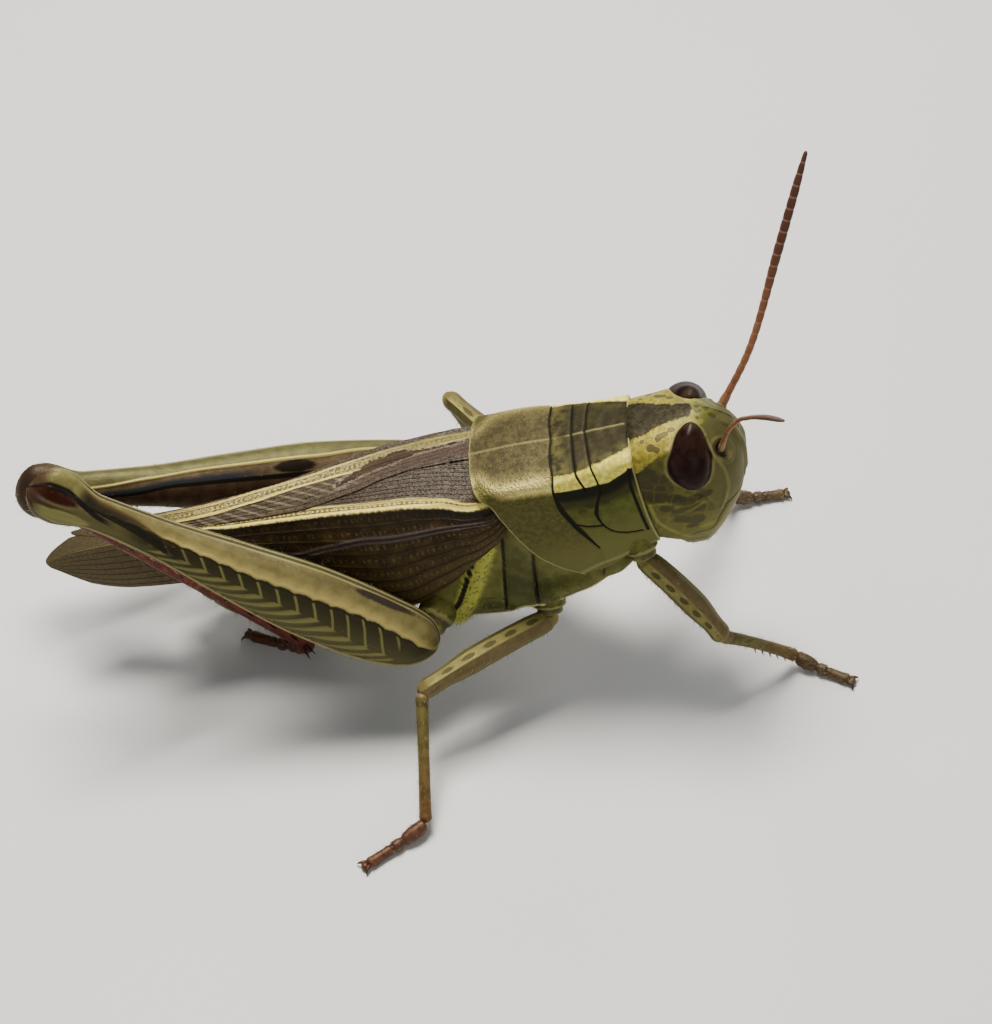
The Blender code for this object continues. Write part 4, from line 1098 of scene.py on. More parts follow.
def wingPaint(hand):
    p = Paint("tegmenBrown" + ("Left" if hand > 0 else "Right"))
    fine, coarse, speck = p.noises(0.07, 0.6, 0.2)
    mark = p.mark
    along, across, vein = p.marks("along", "across", "vein")
    over, under, tip = p.marks("over", "under", "tip")
    unitAcross = 1.0 if hand < 0 else 2.0
    wobble = 0.03 * unitAcross * (speck - 0.5)
    past = 0.0 - under
    # a net of cross veins between the long ones
    net = p.net(along * 3.2, vein * 11.0, 0.8).ease(0.1, 0.03)
    tiny = p.net(along * 5.5, vein * 17.0, 0.9).ease(0.14, 0.04)
    # flat field: grey purplish brown under a fine pale net, palest near the base
    flat = p.vary(coarse, (0.026, 0.017, 0.012), (0.052, 0.036, 0.026))
    paleNet = p.mix(along.ease(-8.0, -1.0), (0.11, 0.08, 0.05), (0.2, 0.175, 0.15))
    flat = p.mix(tiny * (0.25 + 0.5 * speck), flat, paleNet)
    if hand > 0:
        ruddy = along.ease(-7.0, -4.5) * past.ease(0.0, 0.3) * past.ease(1.6, 0.7)
        flat = p.mix(ruddy * (0.4 + 0.5 * speck), flat, (0.06, 0.032, 0.024))
    # side field: dark brown with darker long veins, paler dashes and a few white specks
    hang = p.mix(coarse.ease(0.35, 0.7), (0.018, 0.01, 0.003), (0.05, 0.028, 0.007))
    hang = p.mix(across.ease(1.5, 1.9) * 0.6, hang, (0.075, 0.048, 0.014))
    dash = mark("wave").ease(0.35, 0.1) * (along * 21.0 + 9.0 * coarse).wave().ease(0.0, 0.7)
    hang = p.mix(dash * speck.ease(0.42, 0.58) * 0.6, hang, (0.13, 0.088, 0.035))
    dots = p.cells(0.55, jitter=1.0).ease(0.1, 0.06) * speck.ease(0.5, 0.6)
    hang = p.layers(
        hang, (dots * 0.7, (0.5, 0.45, 0.33)),
        (mark("wave").ease(0.88, 0.98) * 0.75, (0.01, 0.006, 0.003)))
    field = p.mix(across.ease(0.99, 1.03), flat, hang)
    # the stripe: two pale lines, a dotted one between, tan in the gaps
    inside = (over + wobble).ease(-0.02 * unitAcross, 0.02 * unitAcross)
    inside = inside * (under + wobble).ease(-0.015 * unitAcross, 0.015 * unitAcross)
    tan = p.vary(speck, (0.12, 0.085, 0.03), (0.24, 0.18, 0.07))
    cross = p.net(along * 3.4, vein * 5.0, 0.5).ease(0.12, 0.04)
    tan = p.mix(cross * 0.8, tan, (0.5, 0.41, 0.18))
    low = under - 0.05 * unitAcross + wobble
    lowLine = (low * low * (1 / unitAcross**2)).ease(0.0016, 0.0006)
    high = over - 0.04 * unitAcross + wobble
    highLine = (high * high * (1 / unitAcross**2)).ease(0.0012, 0.0003)
    bead = (along * 26.0).wave().ease(-0.4, 0.5)
    middle = (over - under) * (1 / unitAcross)
    middleLine = (middle * middle).ease(0.004, 0.001) * bead
    stripe = p.layers(
        tan, (highLine * 0.9, (0.68, 0.56, 0.16)), (middleLine * 0.9, (0.72, 0.58, 0.14)),
        (lowLine, (0.88, 0.72, 0.16)))
    if hand > 0:
        stripe = p.mix(along.ease(-7.5, -2.5) * 0.7, stripe, (0.15, 0.13, 0.035))
    below = past * (1 / unitAcross)
    black = below.ease(-0.005, 0.02) * below.ease(0.22, 0.06) * (0.35 + 0.65 * along.ease(-6.0, -1.0))
    colour = p.mix(inside * (1.0 - 0.85 * tip), field, stripe)
    if hand < 0:
        colour = p.mix(black * (1.0 - tip) * 0.9, colour, (0.007, 0.005, 0.006))
    # the raised double vein is painted a pale purplish grey: partly its own colour, partly a painted
    # highlight along it
    colour = p.mix(mark("double") * 0.8, colour, (0.1, 0.075, 0.085))
    if hand > 0:
        # pale slanting veins inside the stripe of the left wing
        slant = (along * 9.0 + under * 14.0 + 1.5 * speck).wave().ease(0.35, 0.9)
        slant = slant * along.ease(-4.0, -6.5) * past.ease(0.0, 0.1) * past.ease(1.1, 0.6)
        colour = p.mix(slant * 0.5, colour, (0.26, 0.215, 0.13))
    # towards the tip: thin olive brown with dark veins
    thin = p.layers(
        p.mix(fine.ease(0.3, 0.7), (0.075, 0.055, 0.024), (0.12, 0.092, 0.045)),
        (mark("wave").ease(0.8, 0.97) * 0.8, (0.02, 0.014, 0.008)), (net * 0.35, (0.035, 0.024, 0.012)))
    colour = p.mix(tip * 0.9, colour, thin)
    worn = mark("worn") - 0.06 + 0.5 * (speck - 0.5) + 0.4 * (coarse - 0.5)
    colour = p.layers(
        colour, ((worn - 0.1).ease(0.14, 0.0) * fine.ease(0.4, 0.6) * 0.7, (0.3, 0.23, 0.17)),
        (worn.ease(0.04, -0.04) * 0.92, (0.03, 0.012, 0.008)))
    height = mark("wave").ease(0.8, 1.0) + 0.4 * net + 0.5 * tiny + 0.3 * fine
    rough = 0.5 + 0.15 * speck
    return p.finish(colour, rough, height, relief=0.02, metallic=0.12, specular=0.3)


def makeWings():
    for hand, name in ((-1, "Right"), (1, "Left")):
        grid, along, across, side = wingGrid(hand)
        centre = fromTrunk(-8.0, 0.0, -2.0)
        marks = wingMarks(hand, along, across, side)
        height = (0.025 * ease(marks["wave"], 0.7, 1.0) + 0.05 * marks["double"]
                  + 0.03 * bell(marks["over"], 0, 0.03) + 0.04 * bell(marks["under"], 0, 0.03)
                  + 0.03 * grain(grid, 1.2, 5) - 0.04 * bell(marks["worn"], 0, 0.15))
        height = height * (1 - 0.8 * marks["tip"])
        part = outward(wallLoft(pushed(grid, height, False, centre), wingSizes["wall"], marks,
                                centre))
        makePiece("tegmen" + name, ["tegmen_" + name.lower()], part,
                  wingPaint(hand))


makeWings()


# thorax and neck

thoraxSizes = {
    "ends": (7.2, -5.0), "power": 2.9, "rows": 150, "columns": 180,
    "top": ((-5, -1.5), (-2, -1.1), (3, -1.0), (7.2, -3.4)),
    "bottom": ((-5, -7.7), (-3, -8.8), (0, -9.0), (3.5, -8.7), (6, -7.5), (7.2, -6.7)),
    "flare": ((-5, 0.3), (-3, 1.15), (0, 1.1), (2.5, 0.9), (4.5, 0.5), (6.5, 0.0)),
    "flareFrom": ((-3, -3.6), (-0.5, -4.4), (1.2, -6.4)),
    "half": ((-5, 2.55), (-2, 2.75), (1, 3.0), (4, 3.0), (6, 2.45), (7.2, 1.9)),
    "neck": ((7.0, 0, -6.1), (9.3, 0, -6.2)), "neckDepth": ((0, 1.0), (1, 0.95)),
    "neckWidth": ((0, 1.4), (1, 1.3)),
    # the soft collar between pronotum and head
    "collar": ((7.2, 0, -2.95), (8.7, 0, -3.05)), "collarDepth": ((0, 2.75), (1, 2.8)),
    "collarWidth": ((0, 2.15), (0.5, 2.3), (1, 2.2)),
}


def thoraxGrid():
    # superellipse sections square to the trunk
    z = thoraxSizes
    along = np.linspace(*z["ends"], z["rows"])[:, None]
    top, bottom, half = (smooth(along, z[key]) for key in ("top", "bottom", "half"))
    up, out = oval(around(z["columns"])[None], z["power"])
    rise = (top + bottom) / 2 + (top - bottom) / 2 * up
    # the plates flare out above the hips
    half = half + smooth(along, z["flare"]) * ease(rise, smooth(along, z["flareFrom"]), -7.6)
    return along + 0 * up, half * out, rise


thoraxLines = {
    # (along, rise) on the flanks
    "groove": ((-0.7, -3.0), (-1.0, -4.0), (-2.45, -6.4), (-3.35, -7.4), (-3.6, -8.0)),
    "rearSuture": ((0.85, -2.4), (0.57, -3.6), (0.16, -5.3), (-0.4, -7.6)),
    "frontSuture": ((2.15, -3.0), (1.88, -4.3), (1.4, -6.3), (1.2, -7.6)),
    "band": ((-0.3, -3.6), (-1.0, -4.8), (-1.95, -6.2), (-2.7, -7.3)),
    "rim": ((-4.4, -6.9), (-3.5, -7.3), (-2.6, -7.6), (-1.2, -7.75), (-0.3, -7.8), (0.4, -7.4),
        (1.2, -7.7), (2.0, -8.0), (3.0, -7.8), (4.5, -7.5)),
    "ledge": ((-1.9, -6.6), (-0.9, -6.5), (-0.2, -6.7)),
    "front": ((5.3, -4.5), (5.0, -6.0), (4.6, -7.2)),
}
thoraxSpots = {
    "hips": ((-3.3, -8.0, 1.3, 0.9), (1.5, -8.5, 1.1, 0.8), (5.6, -7.2, 1.2, 0.9)),
    # the last dark spot, just under the ledge, is painted shade; the other two are dark markings
    "dark": ((3.2, -5.9, 0.7, 0.22), (4.1, -5.9, 0.4, 0.3), (-0.9, -7.0, 0.8, 0.35)),
}


def thoraxMarks(along, side, rise):
    # strengths from 0 to 1 of the seams, rim and band, and ways from the plate's edge
    flank = ease(np.abs(side), 1.6, 2.0)

    def line(name, width):
        return bell(distanceTo(curveStops(thoraxLines[name]), along, rise), 0, width) * flank

    seam = np.maximum.reduce([line("groove", 0.13), line("rearSuture", 0.09),
                              line("frontSuture", 0.09), 0.7 * line("front", 0.07),
                              0.5 * line("ledge", 0.06)])
    gap = distanceTo(curveStops(thoraxLines["band"]), along, rise)
    return {
        "along": along, "rise": rise, "seam": seam, "rim": line("rim", 0.1),
        "band": ease(gap, 0.62, 0.4) * flank * ease(rise, -3.0, -3.7),
        "plate": np.interp(rise, (-8, -3), (-0.4, 0.85)) - along,
        "hips": blobs(thoraxSpots["hips"], along, rise) * flank - 2 * (1 - flank),
        "dark": blobs(thoraxSpots["dark"], along, rise), "across": np.abs(side)}


def thoraxPaint():
    p = Paint("thoraxShell")
    mark = p.mark
    fine, coarse, speck = p.noises(0.08, 0.6, 0.25)
    ragged = 0.3 * (speck - 0.5)
    along, rise = p.marks("along", "rise")
    green = p.vary(coarse, (0.085, 0.085, 0.018), (0.125, 0.122, 0.028))
    plate = p.vary(coarse, (0.045, 0.046, 0.013), (0.07, 0.072, 0.019))
    between = mark("plate").ease(0.1, -0.1) * (along + 0.25 * rise).ease(0.5, 0.1)
    green = p.mix(between * 0.85, green, plate)
    grains = p.cells(0.17).ease(0.1, 0.5)
    bright = p.mix(grains * (0.4 + 0.9 * speck), (0.14, 0.145, 0.022), (0.42, 0.41, 0.07))
    brown = p.vary(coarse, (0.05, 0.033, 0.024), (0.1, 0.07, 0.05))
    colour = p.layers(
        green, (mark("band"), bright),
        # dark spots: two dark markings, and painted shade in the one under the ledge
        ((mark("dark") + ragged).ease(0.0, 0.4) * 0.75, (0.04, 0.042, 0.012)),
        ((rise + ragged).ease(-7.8, -8.0), brown),
        (mark("across").ease(1.7, 1.3), p.mix(0.5, brown, green)),
        (mark("rim").ease(0.35, 0.8) * 0.85, (0.5, 0.46, 0.2)),
        (mark("seam").ease(0.25, 0.65), (0.004, 0.004, 0.002)),
        (along.ease(6.7, 7.0), (0.022, 0.016, 0.011)))
    height = grains * mark("band") + 0.4 * p.cells(0.14).ease(0.0, 0.5) + 0.5 * coarse
    return p.finish(colour, 0.42 + 0.15 * fine, height, relief=0.03, metallic=0.15)


def makeThorax():
    z = thoraxSizes
    along, side, rise = thoraxGrid()
    marks = thoraxMarks(along, side, rise)
    grid = fromTrunk(along, side, rise)
    # plates swell a little between their seams, and the breast swells over the hips
    height = (-0.13 * marks["seam"] + 0.09 * marks["rim"] + 0.14 * marks["band"]
              + 0.45 * ease(marks["hips"], -0.1, 0.8) + 0.03 * grain(grid, 1.0, 7))
    grid = pushed(grid, height, True, fromTrunk(along, 0, -4.5))
    parts = [skinOf(grid, marks)]
    hairBed("Body", (grid, fromTrunk(1.0, 0.0, -4.5)), (-0.4, 0, -1),
            0.02 + ease(rise, -6.2, -8.2), 900, 0.3)
    for name, power in (("neck", 2.0), ("collar", 3.0)):
        start, end = (fromTrunk(*place) for place in z[name])
        neck = limb(start, end, z[name + "Depth"], z[name + "Width"], ends=(0, 0), rows=40,
                    power=power)
        along, rise = toTrunk(neck["grid"])
        parts.append(skinOf(neck["grid"], {**dict.fromkeys(marks, -1), "along": along, "rise": rise}))
    makePiece("thoraxSkin", ["thorax", "neck"], joined(parts), thoraxPaint())


makeThorax()


# abdomen

abdomenSizes = {
    "x": ((0, -4.0), (0.25, -6.6), (0.5, -9.4), (0.75, -12.2), (1, -15.0)),
    "y": ((0, 0.0), (0.25, 0.1), (0.5, 0.35), (1, 0.6)),
    "z": ((0, 7.9), (0.25, 5.2), (0.5, 3.1), (0.75, 3.1), (1, 4.1)),
    "half": ((0, 3.0), (0.12, 3.0), (0.25, 2.7), (0.5, 2.15), (0.75, 1.65), (1, 0.9)), "deeper": 1.08,
    "plates": 9, "rows": 220, "columns": 120, "valveOffset": 0.3, "valveReach": (-1.3, 0.05, 0.2),
    "valveFlare": 0.28, "valveDepth": ((0, 0.34), (0.7, 0.26), (1, 0.16)),
    "valveWidth": ((0, 0.5), (0.7, 0.4), (1, 0.25)),
}


def abdomenAxis(t):
    # the bent middle line, by share of its length
    return np.stack([smooth(t, abdomenSizes[key]) for key in "xyz"], axis=-1)


def abdomenPaint():
    p = Paint("abdomenShell")
    fine, coarse, speck = p.noises(0.08, 0.6, 0.22)
    t, up, plate = p.marks("t", "up", "plate")
    ragged = 0.3 * (speck - 0.5)
    back = p.vary(coarse, (0.03, 0.024, 0.01), (0.055, 0.045, 0.017))
    flank = p.vary(coarse, (0.05, 0.05, 0.01), (0.085, 0.085, 0.018))
    belly = p.vary(coarse, (0.15, 0.14, 0.03), (0.2, 0.18, 0.05))
    colour = p.mix((up + ragged).ease(0.55, 0.35), back, flank)
    colour = p.mix((up + ragged).ease(-0.35, -0.5), colour, belly)
    blots = p.cells(0.5).ease(0.25, 0.15) * speck.ease(0.45, 0.6)
    colour = p.layers(
        colour, (blots * 0.5, (0.02, 0.018, 0.007)), (plate.ease(0.86, 0.92) * 0.7, (0.2, 0.19, 0.06)),
        (plate.ease(0.965, 0.985), (0.01, 0.008, 0.005)),
        ((up * up).ease(0.02, 0.004) * plate.ease(0.2, 0.3) * plate.ease(0.45, 0.35) * 0.9,
         (0.008, 0.006, 0.004)), (t.ease(0.93, 0.98) * 0.6, (0.09, 0.06, 0.02)))
    height = 0.5 * p.cells(0.14).ease(0.0, 0.5) + 0.5 * coarse + 0.3 * fine
    return p.finish(colour, 0.42 + 0.15 * fine, height, relief=0.02, metallic=0.2)


def makeAbdomen():
    z = abdomenSizes
    # round rings square to the bent axis; each plate's ring swells and is drawn in at its rear edge
    t = np.linspace(0, 1, z["rows"])
    centre = abdomenAxis(t)
    along = unit(abdomenAxis(t + 0.01) - abdomenAxis(t - 0.01))
    side = unit(np.cross((0, 0, 1), along))
    top = np.cross(along, side)
    angle = around(z["columns"])
    ring = z["deeper"] * np.cos(angle)[None, :, None] * top[:, None]
    ring = ring + np.sin(angle)[None, :, None] * side[:, None]
    plate = (t * z["plates"]) % 1
    step = 0.955 + 0.045 * ease(plate, 0, 0.25) - 0.03 * ease(plate, 0.93, 1)
    half = smooth(t, z["half"]) * step * np.maximum(roundEnds(t, 0, 0.06), 0.05)
    grid = centre[:, None] + half[:, None, None] * ring
    marks = {"t": t[:, None], "plate": plate[:, None], "up": np.cos(angle)[None]}
    part = skinOf(grid, marks)
    hairBed("Body", (grid, centre[:, None]), (-1, 0, 0), 0.06 + ease(marks["up"], 0.0, -0.9), 700,
            0.24)
    makePiece("abdomenSkin", ["abdomen_front", "abdomen_middle", "abdomen_rear",
                                               "abdomen_tip"], part, abdomenPaint())
    for name, lift in (("Upper", 1), ("Lower", -1)):
        start = abdomenAxis(np.array(0.97)) + (0, 0, z["valveOffset"] * lift)
        end = start + z["valveReach"] + (0, 0, z["valveFlare"] * lift)
        valve = limb(start, end, z["valveDepth"], z["valveWidth"], ends=(0, 0.2), rows=40, sides=32)
        marks = {"t": 1, "plate": 0.9 * valve["t"], "up": 0.3 * valve["up"]}
        makePiece("valves" + name, ["ovipositor_" + name.lower()],
                  skinOf(valve["grid"], marks), abdomenPaint())


makeAbdomen()


# legs

legJoints = {
    # coxa root, hip, knee, ankle, toe in stand axes
    "fore_right": ((6.6, -1.9, 10.3), (7.3, -2.85, 8.9), (11.1, -4.0, 4.6), (15.1, -2.2, 0.7),
        (17.8, -3.4, 0.22)),
    "fore_left": ((6.6, 1.9, 10.3), (7.3, 2.85, 8.9), (10.2, 6.9, 6.4), (12.4, 8.3, 0.7),
        (15.2, 8.9, 0.22)),
    "mid_right": ((2.5, -2.4, 6.4), (2.7, -3.4, 5.3), (-3.6, -7.2, 4.35), (-3.4, -12.4, 0.7),
        (-6.2, -14.5, 0.22)),
    "mid_left": ((2.5, 2.4, 6.6), (2.8, 3.9, 5.9), (-2.5, 9.3, 7.4), (-0.2, 10.0, 0.7),
        (2.5, 11.0, 0.22)),
    "hind_right": ((-2.4, -2.3, 5.9), (-2.6, -4.0, 4.9), (-21.6, -2.75, 14.15), (-9.2, -1.95, 1.15),
        (-12.5, -0.5, 0.22)),
    "hind_left": ((-2.4, 2.3, 6.1), (-2.6, 4.85, 6.2), (-23.3, 2.3, 7.9), (-8.0, 8.0, 1.05),
        (-10.8, 9.4, 0.22)),
}
legSizes = {
    "coxa": ((0, 1.0), (0.35, 1.25), (0.6, 1.15), (1, 0.8)), "coxaSize": 0.75, "hindCoxaSize": 0.85,
    "femurDepth": ((0, 0.5), (0.2, 0.62), (0.6, 0.66), (0.86, 0.5), (1, 0.52)),
    "femurWidth": ((0, 0.45), (0.2, 0.58), (0.6, 0.6), (0.86, 0.46), (1, 0.46)),
    "tibiaDepth": ((0, 0.4), (0.1, 0.34), (0.5, 0.3), (0.9, 0.32), (1, 0.36)),
    "tibiaWidth": ((0, 0.36), (0.1, 0.31), (0.5, 0.28), (0.9, 0.3), (1, 0.34)),
    "tarsus": ((0, 0.3), (0.2, 0.36), (0.42, 0.28), (0.55, 0.3), (0.68, 0.26), (0.85, 0.28), (1, 0.34)),
    "femurBow": 0.25, "tibiaBow": 0.12, "kneeOverlap": 0.2,
    "hindAbove": ((0, 1.0), (0.1, 1.5), (0.3, 1.7), (0.5, 1.4), (0.7, 1.05), (0.84, 1.0), (0.93, 1.6),
        (1, 1.4)),
    "hindBelow": ((0, 1.2), (0.08, 1.9), (0.2, 2.2), (0.32, 2.1), (0.5, 1.6), (0.7, 1.05), (0.84, 0.85),
        (0.93, 1.3), (1, 1.1)),
    "hindWidth": ((0, 0.75), (0.15, 1.1), (0.3, 1.2), (0.55, 1.05), (0.8, 0.7), (0.93, 0.85), (1, 0.7)),
    "hindRoot": (0.3, 0.9), "hindHip": (0.9, 0.75), "hindReach": 0.5,
    "hindLean": {"hind_right": -0.35, "hind_left": 0.5},
    "hindTibiaDepth": ((0, 0.45), (0.06, 0.42), (0.5, 0.36), (0.92, 0.4), (1, 0.46)),
    "hindTibiaWidth": ((0, 0.42), (0.06, 0.38), (0.5, 0.33), (0.92, 0.38), (1, 0.44)),
    "hindTibiaDrop": 0.25,
}


def legPiece(kind, leg, part, material):
    name = kind + "".join(word.capitalize() for word in leg.split("_"))
    makePiece(name, [f"{kind}_{leg}"], part, material)


def turnOf(part, hand):
    # degrees round a limb from its top, positive towards the animal's outer side
    return np.degrees(np.arctan2(-hand * part["out"], part["up"])) + 0 * part["t"]


def cone(start, end, radius, bend=(0, 0, 0), rows=7, sides=8):
    # a thorn: a tapering tube bent by an offset at its middle
    start, end = np.array(start, dtype=float), np.array(end, dtype=float)
    t = np.linspace(0, 1, rows)[:, None]
    path = start + t * (end - start) + 4 * t * (1 - t) * np.array(bend)
    return tube(path, radius * (1 - 0.9 * t[:, 0] ** 1.3), sides)


def withThorns(part, rings, marks):
    # joins thorns to a piece; their mark "tip" is 0 at the root and 1 at the tip
    parts = [part]
    for ring in rings:
        tip = np.linspace(0, 1, len(ring))[:, None]
        parts.append(skinOf(ring, {**marks, "tip": tip}))
    return joined(parts)


# jumping legs

femurLines = {
    # degrees round the femur (0 on top, 90 outwards) by share of its length from the hip
    "scallop": ((0, 98), (0.08, 84), (0.13, 78), (0.2, 73), (0.45, 75), (0.62, 69), (0.71, 66),
        (1, 60)),
    "keel": ((0, 128), (0.14, 155), (0.41, 160), (0.55, 142), (0.69, 128), (1, 122)),
    "vertex": ((0, 122), (0.13, 119), (0.22, 110), (0.29, 101), (0.5, 99), (0.7, 94), (1, 92)),
    "kneeTop": ((0.6, 72), (0.67, 62), (0.73, 44), (0.77, 33), (0.86, 18), (0.92, 18), (1, 48)),
    "kneeLow": ((0.6, 108), (0.65, 104), (0.71, 90), (0.77, 78), (0.82, 70), (0.87, 62), (1, 60)),
    "grey": ((0, 17), (0.28, 29), (0.47, 26), (0.6, 20), (0.73, 6), (1, 0)),
    "innerLine": ((0, -30), (0.17, -30), (0.3, -40), (0.56, -40), (0.69, -51), (0.8, -67), (1, -75)),
    "innerDark": ((0, -70), (0.5, -73), (0.63, -76), (0.74, -96), (1, -110)),
    "crescent": ((0.8, 84), (0.83, 78), (0.87, 64), (0.92, 54), (0.965, 53), (0.99, 62)),
}
femurSpots = {
    "purple": ((0.165, 23, 0.1, 13),), "bar": ((0.35, -56, 0.06, 13),),
    "maroon": ((0.94, 71, 0.06, 15),), "gloss": ((0.975, 86, 0.02, 5),),
    "lobe": ((0.905, 112, 0.065, 24), (0.945, 112, 0.04, 18)),
}
chevronSizes = {
    "spacing": 0.0455, "upperSlope": 0.001, "lowerSlope": 0.0021, "from": 0.07, "to": 0.74,
}


def femurMarks(femur, hand):
    # ways from the bent lines in millimetres, for a femur of about 20 with 0.03 to a degree of
    # its girth, and line strengths
    t = femur["t"] + 0 * femur["angle"]
    turn = turnOf(femur, hand)
    perDegree, length = 0.03, 20

    def over(name):
        return (smooth(t, femurLines[name]) - turn) * perDegree

    z = chevronSizes
    off = turn - smooth(t, femurLines["vertex"])
    slope = np.where(off < 0, z["upperSlope"], z["lowerSlope"])
    phase = ((t - slope * np.abs(off)) / z["spacing"]) % 1
    chevron = bell(phase, 0.5, np.where(off < 0, 0.1, 0.08 + 0.24 * ease(off, 55, 5)))
    notch = ((t - z["upperSlope"] * 28) / z["spacing"]) % 1
    scallop = over("scallop") - 0.11 * np.abs(np.sin(np.pi * (notch - 0.5)))
    inside = ease(scallop, 0.02, -0.12) * ease(over("keel"), 0.02, 0.2)
    field = inside * ease(t, z["from"], z["from"] + 0.03) * ease(t, z["to"], z["to"] - 0.07)
    crescent = distanceTo([(x * length, y * perDegree) for x, y in femurLines["crescent"]],
                          t * length, turn * perDegree)
    spots = {name: blobs(spot, t, turn) for name, spot in femurSpots.items()}
    return {
        "t": t, "turn": turn, "scallop": scallop, "keel": over("keel"), "field": field,
        "chevron": chevron * field, "kneeTop": over("kneeTop"), "kneeLow": over("kneeLow"),
        "grey": bell(over("grey"), 0, 0.25), "innerLine": over("innerLine"),
        "innerDark": over("innerDark"), "crescent": crescent, **spots}


def femurPaint(hand):
    p = Paint("femurOlive")
    mark = p.mark
    fine, coarse, speck = p.noises(0.08, 0.7, 0.2)
    ragged = 0.14 * (speck - 0.5)
    t, turn = p.marks("t", "turn")
    # outer face, from the top keel down: tan band, black scalloped edge, herringbone, keel
    tan = p.vary(coarse, (0.125, 0.1, 0.032), (0.17, 0.14, 0.048))
    scallop = mark("scallop") + ragged
    tan = p.layers(
        tan, ((scallop + ragged).ease(0.85, 0.15) * t.ease(0.8, 0.6), (0.33, 0.26, 0.08)),
        (turn.ease(17.0, 14.0) * 0.8, (0.3, 0.26, 0.11)),
        (turn.ease(11.0, 8.0) * 0.9, (0.04, 0.034, 0.012)),
        (mark("grey") * speck.ease(0.25, 0.6) * 0.6, (0.08, 0.062, 0.035)),
        ((mark("purple") + 2.0 * ragged).ease(0.0, 0.4) * 0.9, (0.018, 0.011, 0.012)))
    herring = p.layers(
        p.mix(turn.ease(80.0, 130.0), (0.022, 0.019, 0.007), (0.06, 0.055, 0.017)),
        (mark("chevron").ease(0.25, 0.85), (0.17, 0.155, 0.045)),
        (t.ease(0.72, 0.79), (0.1, 0.083, 0.03)))
    outer = p.mix(scallop.ease(0.03, -0.03), tan, herring)
    outer = p.mix(scallop.ease(0.1, 0.0) * scallop.ease(-0.16, -0.06) * 0.9, outer,
                  (0.006, 0.005, 0.003))
    keel = mark("keel")
    under = p.mix(coarse.ease(0.4, 0.6), (0.045, 0.04, 0.014), (0.075, 0.068, 0.022))
    outer = p.layers(
        outer, (keel.ease(0.04, -0.04), under),
        (keel.ease(0.15, 0.04) * keel.ease(-0.14, -0.03), (0.3, 0.26, 0.11)))
    # inner face: olive band, yellow line, brown band with a black bar, dark lower line
    line, dark = 0.0 - mark("innerLine"), 0.0 - mark("innerDark")
    inner = p.vary(coarse, (0.068, 0.063, 0.02), (0.105, 0.096, 0.032))
    inner = p.mix(turn.ease(-8.0, -2.0), inner, (0.05, 0.045, 0.018))
    brown = p.layers(
        p.vary(coarse, (0.14, 0.095, 0.05), (0.08, 0.052, 0.027)),
        ((mark("bar") + 2.0 * ragged).ease(0.0, 0.3), (0.008, 0.004, 0.003)),
        (dark.ease(0.75, 0.3) * t.ease(0.4, 0.5), (0.022, 0.026, 0.034)))
    inner = p.layers(
        inner, ((line + ragged).ease(0.05, -0.05), brown),
        ((line * line).ease(0.02, 0.005) * 0.9, (0.4, 0.33, 0.09)))
    bottom = p.mix(coarse.ease(0.4, 0.6), (0.055, 0.03, 0.018), (0.085, 0.046, 0.026))
    inner = p.layers(
        inner, ((dark + ragged).ease(0.04, -0.04), bottom),
        ((dark * dark).ease(0.03, 0.008), (0.005, 0.004, 0.003)), (turn.ease(-130.0, -150.0), under))
    colour = p.mix(turn.ease(-2.0, 2.0), inner, outer)
    # the top keel is a pale line beside a dark one
    colour = p.mix((turn * turn).ease(12.0, 4.0) * 0.8, colour, (0.33, 0.29, 0.13))
    # knee: dark brown smear, black crescent round a maroon hollow, pale lower lobe
    outside = turn.ease(-14.0, 4.0) * keel.ease(-0.3, 0.3)
    low, top = mark("kneeLow"), 0.0 - mark("kneeTop")
    smear = (top + ragged).ease(-0.05, 0.3) * (low + ragged).ease(-0.05, 0.05) * outside
    smear = smear * t.ease(0.6, 0.68)
    murk = p.mix(low.ease(1.3, 0.5), (0.06, 0.032, 0.014), (0.007, 0.006, 0.004))
    colour = p.mix(smear * (0.45 + 0.5 * low.ease(1.9, 0.8)), colour, murk)
    kneeOlive = p.mix(coarse.ease(0.4, 0.6), (0.13, 0.115, 0.035), (0.19, 0.165, 0.055))
    colour = p.layers(
        colour, (t.ease(0.87, 0.91) * turn.ease(62.0, 50.0), kneeOlive),
        (t.ease(0.88, 0.9) * turn.ease(86.0, 90.0), (0.05, 0.035, 0.014)),
        (mark("maroon").ease(0.0, 0.3), (0.035, 0.005, 0.003)),
        (mark("crescent").ease(0.26, 0.14) * t.ease(0.79, 0.83), (0.006, 0.003, 0.005)),
        # a painted highlight: a small pale bluish spot on the knee beside the maroon hollow
        (mark("gloss").ease(0.1, 0.6) * 0.7, (0.12, 0.11, 0.16)),
        (mark("lobe").ease(0.0, 0.25), (0.2, 0.185, 0.06)),
        (t.ease(0.9, 0.95) * turn.ease(-5.0, -25.0) * 0.85, (0.035, 0.015, 0.009)),
        (t.ease(0.95, 0.985) * 0.85, (0.045, 0.018, 0.011)))
    # painted shade: on the left femur only the upper part of the knee is painted darker; the real knees
    # are alike
    if hand > 0:
        colour = p.mix(t.ease(0.87, 0.93) * turn.ease(70.0, 40.0) * 0.9, colour, (0.03, 0.014, 0.01))
    height = 0.5 * p.cells(0.14).ease(0.0, 0.5) + 0.5 * fine + 0.5 * coarse
    rough = 0.42 + 0.15 * fine - 0.2 * mark("maroon").ease(-0.2, 0.2)
    return p.finish(colour, rough, height, relief=0.014, metallic=0.25, specular=0.3)


